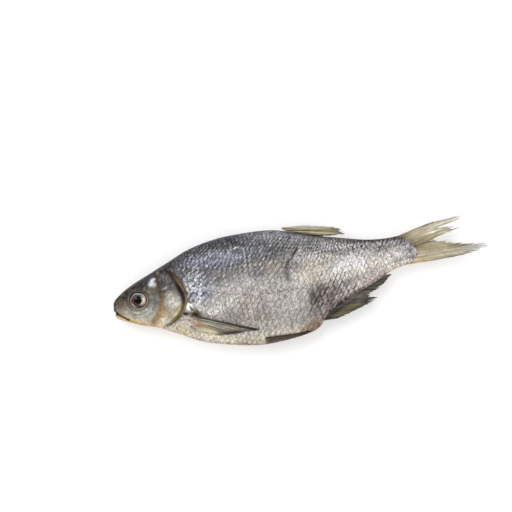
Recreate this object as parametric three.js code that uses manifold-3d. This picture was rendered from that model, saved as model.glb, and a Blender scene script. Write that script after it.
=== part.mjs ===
// A dried salted bream, lying on its right flank with the left flank up.
// Millimetres. X runs from the snout to the tail, Y from the belly to the back, Z up.
// Every outline is first drawn in the fish's own plane: x along it from the snout,
// y across it towards the back, with the middle plane of the fish at z = 0.

import * as THREE from 'three';
import { mergeVertices } from 'three/addons/utils/BufferGeometryUtils.js';
import Module from 'manifold-3d';

const wasm = await Module();
wasm.setup();

const restFlat = 0.7; // taken off the fullest part of the lower flank, so that it lies still
const sectionPoints = 30; // around one body section
const noseStations = [0, 0.4, 1.2, 2.6]; // close sections round the snout
const noseLength = 5;
const headStep = 3.6; // between sections of the head
const flankStep = 6.5; // between sections behind the head
const headLength = 57;
const widestAt = 0.45; // of the depth, measured from the back
const backFullness = 0.78; // below 1 is round, above 1 is a keel
const bellyFullness = 1.02;

// Sections of the body: distance from the snout, back, belly and half of the thickness.
const bodySections = [
  { at: 0, back: -0.6, belly: -4.2, half: 0.9 },
  { at: 1.2, back: 3.6, belly: -7.2, half: 2.9 },
  { at: 5, back: 7.4, belly: -9.8, half: 5.4 },
  { at: 15, back: 13.4, belly: -14.4, half: 9.2 },
  { at: 30, back: 19.8, belly: -19.3, half: 11.9 },
  { at: 45, back: 26.2, belly: -26.8, half: 13.2 },
  { at: 60, back: 32.3, belly: -34.3, half: 13.9 },
  { at: 80, back: 36.3, belly: -39.9, half: 14.6 },
  { at: 100, back: 37.1, belly: -43.2, half: 14.6 },
  { at: 120, back: 35.9, belly: -42.6, half: 13.5 },
  { at: 135, back: 32, belly: -40.4, half: 11.9 },
  { at: 142.5, back: 29.6, belly: -37.4, half: 10.8 },
  { at: 147, back: 28, belly: -32.6, half: 10.2 },
  { at: 155, back: 25.5, belly: -26.2, half: 9.3 },
  { at: 170, back: 21.8, belly: -18.6, half: 7.7 },
  { at: 185, back: 18.2, belly: -13.2, half: 6 },
  { at: 200, back: 16.8, belly: -6.2, half: 4.4 },
  { at: 210, back: 17.6, belly: -4.2, half: 2.9 },
  { at: 218, back: 18.4, belly: -3.2, half: 0.7 },
];

// A fin is a row of its main rays from the back side to the belly side, each from its root
// to its tip. Finer rays stand between them. A ray rises above the fin's plane and reaches
// under it, and the web between two rays is lower and ends short of their tips.
const tailFin = {
  rays: [
    { root: [203, 16], tip: [232, 22.9] },
    { root: [206, 15.6], tip: [253, 24.4] },
    { root: [207, 14.2], tip: [255.6, 22.3] },
    { root: [208, 12.6], tip: [240.3, 19.9] },
    { root: [209, 11.4], tip: [249, 17.8] },
    { root: [209, 10.2], tip: [252.2, 15.6] },
    { root: [209, 9], tip: [240, 13.6] },
    { root: [209, 7.6], tip: [231.9, 10.4] },
    { root: [209, 5.6], tip: [239, 9.4] },
    { root: [209, 4.2], tip: [249.7, 5.9] },
    { root: [209, 2.8], tip: [256.5, 3.6] },
    { root: [208, 1.2], tip: [268.9, 1.5] },
    { root: [207, -0.4], tip: [270.6, -0.3] },
    { root: [206, -1.8], tip: [261.6, -3.3] },
    { root: [203, -3.4], tip: [236, -4] },
  ],
  rayCount: 19,
  steps: 6,
  rise: { root: 1.2, tip: 0.45 },
  under: { root: 1.2, tip: 0.45 },
  webShare: 0.62,
  webShort: 0.06,
};

const analFin = {
  rays: [
    { root: [189, -8.6], tip: [199, -9] },
    { root: [181, -12.6], tip: [194.2, -13.4] },
    { root: [173, -15.6], tip: [188.4, -17.4] },
    { root: [167, -18], tip: [181.4, -19.8] },
    { root: [161, -21], tip: [181, -22.6] },
    { root: [156, -23.6], tip: [186.5, -23.2] },
    { root: [151, -26.5], tip: [180, -27] },
    { root: [146, -30.5], tip: [170, -30] },
    { root: [143, -33], tip: [156, -33.6] },
  ],
  rayCount: 15,
  steps: 3,
  rise: { root: 1, tip: 0.45 },
  under: { root: 1, tip: 0.45 },
  webShare: 0.62,
  webShort: 0.08,
};

// The back fin is folded down to the rear, half on the ridge and half on the upper flank.
const backFin = {
  rays: [
    { root: [125, 36.4], tip: [142.6, 35.3] },
    { root: [125.6, 35.9], tip: [157.5, 32] },
    { root: [127, 35], tip: [168, 29.4] },
    { root: [129.4, 33.9], tip: [170.8, 24.6] },
    { root: [133.4, 32.4], tip: [162.6, 24.8] },
    { root: [139.6, 30.2], tip: [154.6, 25.7] },
  ],
  rayCount: 7,
  steps: 5,
  rise: { root: 1.5, tip: 1.1 },
  under: { root: 0.9, tip: 0.7 },
  webShare: 0.7,
  webShort: 0.05,
};

const breastFin = {
  rays: [
    { root: [54, -12.4], tip: [101.2, -31.6] },
    { root: [53.8, -14.6], tip: [95, -32] },
    { root: [53.6, -16.8], tip: [84, -32.3] },
    { root: [53.7, -19], tip: [73, -31.7] },
    { root: [54, -21.4], tip: [62, -26.6] },
  ],
  rayCount: 7,
  steps: 5,
  rise: { root: 2, tip: 1 },
  under: { root: 1.2, tip: 1.2 },
  webShare: 0.7,
  webShort: 0.05,
};

const bellyFin = {
  rays: [
    { root: [101.7, -38.4], tip: [137, -39.4] },
    { root: [102, -40], tip: [131, -40.8] },
    { root: [103, -41.4], tip: [119, -42.4] },
  ],
  rayCount: 4,
  steps: 4,
  rise: { root: 1.4, tip: 0.9 },
  under: { root: 1.2, tip: 1 },
  webShare: 0.7,
  webShort: 0.04,
};

// The gill cover is a bony plate, drawn as rays from its hinge to its rounded rim.
const gillCover = {
  rays: [
    { root: [37, 17.4], tip: [45.2, 19] },
    { root: [38, 12], tip: [49, 12] },
    { root: [38.4, 6], tip: [52, 5] },
    { root: [38, 0.4], tip: [53.4, -1] },
    { root: [37, -5], tip: [51.4, -6.8] },
    { root: [34.6, -10], tip: [46.8, -12] },
    { root: [31, -14], tip: [40.6, -16.6] },
    { root: [27.6, -16.6], tip: [34.2, -19.4] },
  ],
  rayCount: 8,
  steps: 4,
  rise: { root: -0.3, tip: 1.4 },
  under: { root: 1.2, tip: 1.2 },
  webShare: 1,
  webShort: 0,
};

const eye = { x: 19, y: 2.4, width: 12.6, height: 11.6, bulge: 1.5, pupil: 5, pupilBulge: 2.2 };
const eyeRing = { width: 15.6, height: 14.4, thickness: 1.7 };
const eyeFacets = { around: 18, down: 8 };
const pupilFacets = { around: 10, down: 6 };
const ringFacets = { section: 5, around: 22 };
const nostrils = [
  { x: 9.4, y: 5.8, radius: 0.9 },
  { x: 11.6, y: 8.2, radius: 1.2 },
];
const nostrilFacets = { around: 8, down: 6 };

// Grooves of the head, each along a curve on the flank: the cheek, the gill slit, the lower
// plate of the gill cover and the cheekbone below the eye.
const grooves = [
  {
    width: 1.6,
    lift: 0,
    path: [[34.6, 16], [35.6, 8], [35.6, -1], [33.6, -7.6], [30, -13.4], [24.6, -16.2]],
  },
  {
    width: 1.4,
    lift: 1.2,
    path: [[45.6, 14.6], [48.6, 6.6], [50.8, 0], [49.4, -6], [44.2, -12.4], [37.6, -16.2]],
  },
  {
    width: 1,
    lift: 0.8,
    path: [[47.6, -3.6], [42.4, -8.6], [36.6, -13]],
  },
  {
    width: 1.2,
    lift: 0,
    path: [[10.6, -4.8], [15.4, -8.2], [22, -8.8], [28.6, -5], [31, 1.4]],
  },
];
const grooveSteps = 9;
const grooveSides = 5;
const mouth = { corner: [8, -8.4], front: [-2, -4.2], height: 0.9, halfWidth: 12 };
const tableBlock = { middle: 135, length: 600, width: 300, height: 100 };

// A smooth curve through rising stations, with each slope taken from the two neighbours.
function smoothThrough(stations, key) {
  const last = stations.length - 1;
  const slopes = stations.map((station, i) => {
    const before = stations[Math.max(i - 1, 0)];
    const after = stations[Math.min(i + 1, last)];
    return (after[key] - before[key]) / (after.at - before.at);
  });
  return (at) => {
    let i = 0;
    while (i < last - 1 && at > stations[i + 1].at) i += 1;
    const run = stations[i + 1].at - stations[i].at;
    const f = THREE.MathUtils.clamp((at - stations[i].at) / run, 0, 1);
    const startShare = 2 * f ** 3 - 3 * f ** 2 + 1;
    const endShare = 1 - startShare;
    const startSlope = (f ** 3 - 2 * f ** 2 + f) * run;
    const endSlope = (f ** 3 - f ** 2) * run;
    return (
      startShare * stations[i][key] +
      endShare * stations[i + 1][key] +
      startSlope * slopes[i] +
      endSlope * slopes[i + 1]
    );
  };
}

const backAt = smoothThrough(bodySections, 'back');
const bellyAt = smoothThrough(bodySections, 'belly');
const halfAt = smoothThrough(bodySections, 'half');
const depthSkew = Math.log(0.5) / Math.log(widestAt);

function fullnessAt(depthShare) {
  return THREE.MathUtils.lerp(backFullness, bellyFullness, depthShare);
}

// Height of the left flank above the middle plane, and 0 outside the body's outline.
function flankHeight(x, y) {
  const back = backAt(x);
  const depthShare = (back - y) / (back - bellyAt(x));
  if (depthShare <= 0 || depthShare >= 1) return 0;
  const skewed = depthShare ** depthSkew;
  const round = 2 * Math.sqrt(skewed * (1 - skewed));
  return halfAt(x) * round ** fullnessAt(depthShare);
}

function closedSolid(positions, triangles) {
  const geometry = new THREE.BufferGeometry();
  geometry.setAttribute('position', new THREE.Float32BufferAttribute(positions, 3));
  geometry.setIndex(triangles);
  return toSolid(geometry);
}

function toSolid(geometry) {
  geometry.deleteAttribute('normal');
  geometry.deleteAttribute('uv');
  const merged = mergeVertices(geometry);
  return new wasm.Manifold(
    new wasm.Mesh({
      numProp: 3,
      vertProperties: new Float32Array(merged.attributes.position.array),
      triVerts: new Uint32Array(merged.index.array),
    }),
  );
}

// A closed shape drawn on the flat, laid on the left or the right flank of the body.
function layOnFlank(geometry, side) {
  const laid = geometry.index ? geometry.clone() : mergeVertices(geometry);
  const position = laid.attributes.position;
  for (let i = 0; i < position.count; i += 1) {
    const height = flankHeight(position.getX(i), position.getY(i)) + position.getZ(i);
    position.setZ(i, side * height);
  }
  if (side < 0) {
    const index = laid.index.array;
    for (let i = 0; i < index.length; i += 3) {
      [index[i], index[i + 1]] = [index[i + 1], index[i]];
    }
  }
  return toSolid(laid);
}

function sectionStations() {
  const stations = [...noseStations];
  const end = bodySections[bodySections.length - 1].at;
  for (let x = noseLength; x < headLength; x += headStep) stations.push(x);
  for (let x = headLength; x < end; x += flankStep) stations.push(x);
  stations.push(end);
  return stations;
}

function buildBody() {
  const stations = sectionStations();
  const half = sectionPoints / 2;
  const positions = [];
  const triangles = [];
  stations.forEach((x) => {
    const back = backAt(x);
    const depth = back - bellyAt(x);
    for (let i = 0; i < sectionPoints; i += 1) {
      const turn = (Math.PI * i) / half;
      const skewed = (1 - Math.cos(turn)) / 2;
      const depthShare = skewed ** (1 / depthSkew);
      const round = Math.abs(Math.sin(turn)) ** fullnessAt(depthShare);
      const side = i <= half ? 1 : -1;
      positions.push(x, back - depth * depthShare, side * halfAt(x) * round);
    }
  });
  const at = (station, i) => station * sectionPoints + (i % sectionPoints);
  for (let station = 0; station < stations.length - 1; station += 1) {
    for (let i = 0; i < sectionPoints; i += 1) {
      triangles.push(at(station, i), at(station, i + 1), at(station + 1, i));
      triangles.push(at(station, i + 1), at(station + 1, i + 1), at(station + 1, i));
    }
  }
  const last = stations.length - 1;
  for (let i = 1; i < sectionPoints - 1; i += 1) {
    triangles.push(at(0, 0), at(0, i + 1), at(0, i));
    triangles.push(at(last, 0), at(last, i), at(last, i + 1));
  }
  return closedSolid(positions, triangles);
}

// The flat shape of a fin: a fan of rays, thick at the root, with a thinner web between.
function fanGeometry(fin) {
  const columns = 2 * fin.rayCount - 1;
  const rows = fin.steps + 1;
  const positions = [];
  const triangles = [];
  const faces = [
    { sign: 1, at: fin.rise },
    { sign: -1, at: fin.under },
  ];
  for (const face of faces) {
    for (let column = 0; column < columns; column += 1) {
      const across = (column / (columns - 1)) * (fin.rays.length - 1);
      const first = Math.min(Math.floor(across), fin.rays.length - 2);
      const share = across - first;
      const isWeb = column % 2 === 1;
      const reach = isWeb ? 1 - fin.webShort : 1;
      const root = [0, 1].map((axis) =>
        THREE.MathUtils.lerp(fin.rays[first].root[axis], fin.rays[first + 1].root[axis], share),
      );
      const tip = [0, 1].map((axis) =>
        THREE.MathUtils.lerp(fin.rays[first].tip[axis], fin.rays[first + 1].tip[axis], share),
      );
      for (let row = 0; row < rows; row += 1) {
        const along = row / fin.steps;
        const height = THREE.MathUtils.lerp(face.at.root, face.at.tip, along);
        positions.push(
          THREE.MathUtils.lerp(root[0], tip[0], along * reach),
          THREE.MathUtils.lerp(root[1], tip[1], along * reach),
          face.sign * height * (isWeb ? fin.webShare : 1),
        );
      }
    }
  }
  const at = (face, column, row) => (face * columns + column) * rows + row;
  const addQuad = (a, b, c, d) => triangles.push(a, c, b, a, d, c);
  for (let column = 0; column < columns - 1; column += 1) {
    for (let row = 0; row < rows - 1; row += 1) {
      const corners = (face) => [
        at(face, column, row),
        at(face, column + 1, row),
        at(face, column + 1, row + 1),
        at(face, column, row + 1),
      ];
      addQuad(...corners(0).reverse());
      addQuad(...corners(1));
    }
    addQuad(at(0, column, 0), at(0, column + 1, 0), at(1, column + 1, 0), at(1, column, 0));
    const end = rows - 1;
    addQuad(at(1, column, end), at(1, column + 1, end), at(0, column + 1, end), at(0, column, end));
  }
  const far = columns - 1;
  for (let row = 0; row < rows - 1; row += 1) {
    addQuad(at(1, 0, row), at(1, 0, row + 1), at(0, 0, row + 1), at(0, 0, row));
    addQuad(at(0, far, row), at(0, far, row + 1), at(1, far, row + 1), at(1, far, row));
  }
  const geometry = new THREE.BufferGeometry();
  geometry.setAttribute('position', new THREE.Float32BufferAttribute(positions, 3));
  geometry.setIndex(triangles);
  return geometry;
}

function eyeGeometries() {
  const ball = new THREE.SphereGeometry(0.5, eyeFacets.around, eyeFacets.down);
  ball.scale(eye.width, eye.height, 2 * eye.bulge);
  ball.translate(eye.x, eye.y, 0);
  const pupil = new THREE.SphereGeometry(0.5, pupilFacets.around, pupilFacets.down);
  pupil.scale(eye.pupil, eye.pupil, 2 * eye.pupilBulge);
  pupil.translate(eye.x, eye.y, 0);
  const tube = eyeRing.thickness / eyeRing.width / 2;
  const ring = new THREE.TorusGeometry(0.5, tube, ringFacets.section, ringFacets.around);
  ring.scale(eyeRing.width, eyeRing.height, eyeRing.width);
  ring.translate(eye.x, eye.y, 0);
  return [ball, pupil, ring];
}

function grooveGeometry(groove) {
  const points = groove.path.map(([x, y]) => new THREE.Vector3(x, y, groove.lift));
  const path = new THREE.CatmullRomCurve3(points);
  const section = new THREE.Shape();
  for (let i = 0; i < grooveSides; i += 1) {
    const turn = (2 * Math.PI * i) / grooveSides;
    const x = (Math.cos(turn) * groove.width) / 2;
    const y = (Math.sin(turn) * groove.width) / 2;
    if (i === 0) section.moveTo(x, y);
    else section.lineTo(x, y);
  }
  section.closePath();
  return new THREE.ExtrudeGeometry(section, { extrudePath: path, steps: grooveSteps, bevelEnabled: false });
}

function nostrilGeometry(nostril) {
  const pit = new THREE.SphereGeometry(nostril.radius, nostrilFacets.around, nostrilFacets.down);
  pit.translate(nostril.x, nostril.y, 0);
  return pit;
}

// The slightly open mouth is a thin wedge that narrows from the lips to its corner.
function mouthCut() {
  const [frontX, frontY] = mouth.front;
  const [cornerX, cornerY] = mouth.corner;
  const wedge = new THREE.Shape();
  wedge.moveTo(cornerX, cornerY);
  wedge.lineTo(frontX, frontY - mouth.height);
  wedge.lineTo(frontX, frontY + mouth.height);
  wedge.closePath();
  const cut = new THREE.ExtrudeGeometry(wedge, { depth: 2 * mouth.halfWidth, bevelEnabled: false });
  cut.translate(0, 0, -mouth.halfWidth);
  return toSolid(cut);
}

function buildFish() {
  let fish = buildBody();
  for (const fin of [tailFin, analFin]) fish = fish.add(toSolid(fanGeometry(fin)));
  fish = fish.add(layOnFlank(fanGeometry(backFin), 1));
  for (const side of [1, -1]) {
    for (const fin of [gillCover, breastFin, bellyFin]) {
      fish = fish.add(layOnFlank(fanGeometry(fin), side));
    }
    for (const geometry of eyeGeometries()) fish = fish.add(layOnFlank(geometry, side));
    for (const groove of grooves) fish = fish.subtract(layOnFlank(grooveGeometry(groove), side));
    for (const nostril of nostrils) fish = fish.subtract(layOnFlank(nostrilGeometry(nostril), side));
  }
  fish = fish.subtract(mouthCut());
  const fullest = Math.max(...bodySections.map((section) => section.half));
  const table = new THREE.BoxGeometry(tableBlock.length, tableBlock.width, tableBlock.height);
  table.translate(tableBlock.middle, 0, restFlat - fullest - tableBlock.height / 2);
  return fish.subtract(toSolid(table));
}

function toGeometry(solid) {
  const mesh = solid.getMesh();
  const geometry = new THREE.BufferGeometry();
  geometry.setAttribute('position', new THREE.BufferAttribute(mesh.vertProperties, 3));
  geometry.setIndex(new THREE.BufferAttribute(mesh.triVerts, 1));
  return geometry;
}

// The origin is under the middle of the fish, at the level that it lies on.
function standOnOrigin(geometry) {
  geometry.computeBoundingBox();
  const box = geometry.boundingBox;
  const middle = box.getCenter(new THREE.Vector3());
  geometry.translate(-middle.x, -middle.y, -box.min.z);
  return geometry;
}

const driedSkin = new THREE.MeshStandardMaterial({ color: 0xa8a39c, roughness: 0.42, metalness: 0.15 });
const fish = new THREE.Mesh(standOnOrigin(toGeometry(buildFish())), driedSkin);
fish.name = 'fish';

const driedBream = new THREE.Group();
driedBream.add(fish);

export default driedBream;
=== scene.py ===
import math

import bpy
import numpy as np
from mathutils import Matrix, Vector


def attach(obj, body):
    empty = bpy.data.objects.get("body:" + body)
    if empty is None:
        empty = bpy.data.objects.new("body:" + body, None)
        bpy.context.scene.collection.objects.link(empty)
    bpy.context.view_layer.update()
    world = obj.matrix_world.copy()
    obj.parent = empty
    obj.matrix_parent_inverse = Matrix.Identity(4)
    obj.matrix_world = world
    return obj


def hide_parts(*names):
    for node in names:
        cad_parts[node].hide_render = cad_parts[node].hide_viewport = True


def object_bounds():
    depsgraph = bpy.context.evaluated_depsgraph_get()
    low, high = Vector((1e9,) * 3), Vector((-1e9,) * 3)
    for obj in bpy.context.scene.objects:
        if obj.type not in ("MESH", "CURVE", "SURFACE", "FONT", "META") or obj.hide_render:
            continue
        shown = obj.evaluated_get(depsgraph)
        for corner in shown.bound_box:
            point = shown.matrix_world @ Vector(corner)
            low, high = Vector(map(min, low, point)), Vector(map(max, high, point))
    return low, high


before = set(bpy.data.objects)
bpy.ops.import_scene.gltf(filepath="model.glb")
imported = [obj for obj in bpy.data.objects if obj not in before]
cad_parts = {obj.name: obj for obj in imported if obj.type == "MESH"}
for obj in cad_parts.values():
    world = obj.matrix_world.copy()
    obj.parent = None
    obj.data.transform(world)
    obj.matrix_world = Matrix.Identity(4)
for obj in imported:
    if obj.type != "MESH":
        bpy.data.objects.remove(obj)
cadLow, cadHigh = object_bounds()
print("frame loaded")

# The fish's own plane, in millimetres: s from the snout to the tail, t towards the back,
# and z out of the middle of the fish, up on the flank that shows.
fishPlan = {
    "middleHeight": 13.9,  # of the middle plane above the table
    "widestAt": 0.45,  # of the depth, from the back
    "backFullness": 0.78,
    "bellyFullness": 1.02,
    "sideLine": [(40, 12), (50, 9), (60, 5.6), (72, 0.2), (86, -4.6), (104, -7), (119, -7.5), (134, -7.8),
                 (150, -6.4), (175, -1.8), (195, 2.6), (220, 7)],
    "pressed": 0.8,  # depth of the soft flat where it lies on the table
    # distance from the snout, back, belly, half thickness
    "sections": [(0, -0.6, -4.2, 0.9), (1.2, 3.6, -7.2, 2.9), (5, 7.4, -9.8, 5.4), (15, 13.4, -14.4, 9.2),
                 (30, 19.8, -19.3, 11.9), (45, 26.2, -26.8, 13.2), (60, 32.3, -34.3, 13.9),
                 (80, 36.3, -39.9, 14.6), (100, 37.1, -43.2, 14.6), (120, 35.9, -42.6, 13.5),
                 (135, 32, -40.4, 11.9), (142.5, 29.6, -37.4, 10.8), (147, 28, -32.6, 10.2),
                 (155, 25.5, -26.2, 9.3), (170, 21.8, -18.6, 7.7), (185, 18.2, -13.2, 6),
                 (200, 16.8, -6.2, 4.4), (210, 17.6, -4.2, 2.9), (218, 18.4, -3.2, 0.7)],
}


def smoothThrough(points, column=1):
    # a smooth curve through rising stations, each slope taken from its two neighbours
    at = np.array([p[0] for p in points], float)
    value = np.array([p[column] for p in points], float)
    slope = np.empty_like(value)
    slope[1:-1] = (value[2:] - value[:-2]) / (at[2:] - at[:-2])
    slope[0] = (value[1] - value[0]) / (at[1] - at[0])
    slope[-1] = (value[-1] - value[-2]) / (at[-1] - at[-2])

    def curve(x):
        x = np.clip(np.asarray(x, float), at[0], at[-1])
        i = np.clip(np.searchsorted(at, x, side="right") - 1, 0, len(at) - 2)
        run = at[i + 1] - at[i]
        f = (x - at[i]) / run
        start = 2 * f**3 - 3 * f**2 + 1
        bend = run * ((f**3 - 2 * f**2 + f) * slope[i] + (f**3 - f**2) * slope[i + 1])
        return start * value[i] + (1 - start) * value[i + 1] + bend

    return curve


backAt = smoothThrough(fishPlan["sections"], 1)
bellyAt = smoothThrough(fishPlan["sections"], 2)
halfAt = smoothThrough(fishPlan["sections"], 3)
sideLineAt = smoothThrough(fishPlan["sideLine"])
depthSkew = math.log(0.5) / math.log(fishPlan["widestAt"])
backTop = float(backAt(np.linspace(60, 130, 400)).max())


def depthShare(s, t):
    back = backAt(s)
    return np.clip((back - t) / (back - bellyAt(s)), 0, 1)


def fullness(share):
    return fishPlan["backFullness"] + (fishPlan["bellyFullness"] - fishPlan["backFullness"]) * share


def flankHeight(s, t):
    # height of the smooth flank above the middle plane
    share = depthShare(s, t)
    skewed = share**depthSkew
    return halfAt(s) * (2 * np.sqrt(np.clip(skewed * (1 - skewed), 0, 1))) ** fullness(share)


# edge of the gill cover over the share of the depth
rimAt = smoothThrough([(0, 38.5), (0.07, 41.5), (0.135, 45.4), (0.229, 49.2), (0.337, 52.1), (0.464, 54),
                       (0.58, 52.6), (0.722, 47.9), (0.834, 42.1), (0.93, 37), (1, 32)])


def toFrame(s, t, z):
    soft = fishPlan["pressed"]
    low = soft - fishPlan["middleHeight"]
    z = np.where(z < low, low - soft * (1 - np.exp(np.minimum(np.asarray(z) - low, 0) / soft)), z)
    points = np.stack(np.broadcast_arrays(s, t, z), axis=-1).astype(float)
    points += (cadLow.x * 1000, cadHigh.y * 1000 - backTop, fishPlan["middleHeight"])
    return points / 1000


def ease(x, low, high):
    f = np.clip((x - low) / (high - low), 0, 1)
    return f * f * (3 - 2 * f)


def smoothPath(points, count=40):
    # an even polyline through a few given points
    points = np.array(points, float)
    steps = np.concatenate([[0], np.cumsum(np.linalg.norm(np.diff(points, axis=0), axis=1))])
    at = np.linspace(0, steps[-1], count)
    columns = [smoothThrough(list(zip(steps, points[:, i])))(at) for i in range(points.shape[1])]
    return np.stack(columns, axis=1)


def distanceTo(path, s, t):
    # nearest distance to a path in the fish's plane, and the share of its length there
    s, t = np.asarray(s, float), np.asarray(t, float)
    best = np.full(s.shape, 1e9)
    along = np.zeros(s.shape)
    for i in range(len(path) - 1):
        a, b = path[i][:2], path[i + 1][:2]
        ab = b - a
        f = np.clip(((s - a[0]) * ab[0] + (t - a[1]) * ab[1]) / max(ab @ ab, 1e-9), 0, 1)
        d = np.hypot(s - a[0] - f * ab[0], t - a[1] - f * ab[1])
        near = d < best
        best = np.where(near, d, best)
        along = np.where(near, (i + f) / (len(path) - 1), along)
    return best, along


studioLight = {"level": 1.12, "gloss": 0.02}


def toLinear(colour):
    c = np.asarray(colour, float) / 255
    return np.where(c <= 0.04045, c / 12.92, ((c + 0.055) / 1.055) ** 2.4)


def surfaceColour(colour):
    # colours are named as they look in the studio; this takes its light and gloss off again
    return np.maximum((toLinear(colour) - studioLight["gloss"]) / studioLight["level"], 0.004)


def blend(colour, tint, share):
    # share is how much of the tint shows at each point
    share = np.asarray(share)[..., None]
    return colour * (1 - share) + tint * share


def bell(x, width):
    return np.exp(-((x / width) ** 2))


def ovalDistance(s, t, cs, ct, along, across, turn=0):
    # squared distance from the middle of a turned oval, 1 on its edge
    c, k = math.cos(math.radians(turn)), math.sin(math.radians(turn))
    x = ((s - cs) * c + (t - ct) * k) / along
    y = (-(s - cs) * k + (t - ct) * c) / across
    return x * x + y * y


def mounds(s, t, places):
    # the sum of soft mounds and dents: each has its height, middle s, t, and reach along, across
    total = np.zeros(np.shape(s))
    for height, *oval in places:
        total = total + height * np.exp(-ovalDistance(s, t, *oval))
    return total


def bandColour(bands, x):
    # colour at x between (place, colour) pairs
    places = [b[0] for b in bands]
    colours = surfaceColour([b[1] for b in bands])
    return np.stack([np.interp(x, places, colours[:, i]) for i in range(3)], axis=-1)


def paintZones(colour, s, t, zones):
    # each zone: centre s, t, radius along, across, turn in degrees, colour, strength
    for *oval, tint, strength in zones:
        colour = blend(colour, surfaceColour(tint), strength * np.exp(-(ovalDistance(s, t, *oval) ** 1.4)))
    return colour


def strokePaint(colour, s, t, path, width, tint, strength=1.0):
    # a soft line of colour along a path
    d, along = distanceTo(path, s, t)
    fade = ease(along, 0, 0.06) * (1 - ease(along, 0.94, 1))
    return blend(colour, surfaceColour(tint), strength * fade * bell(d, width))


creasePoints = [(136, 21), (134, 18.4), (129, 13), (125.6, 7.3), (125.4, 2), (126.4, -3)]
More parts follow.
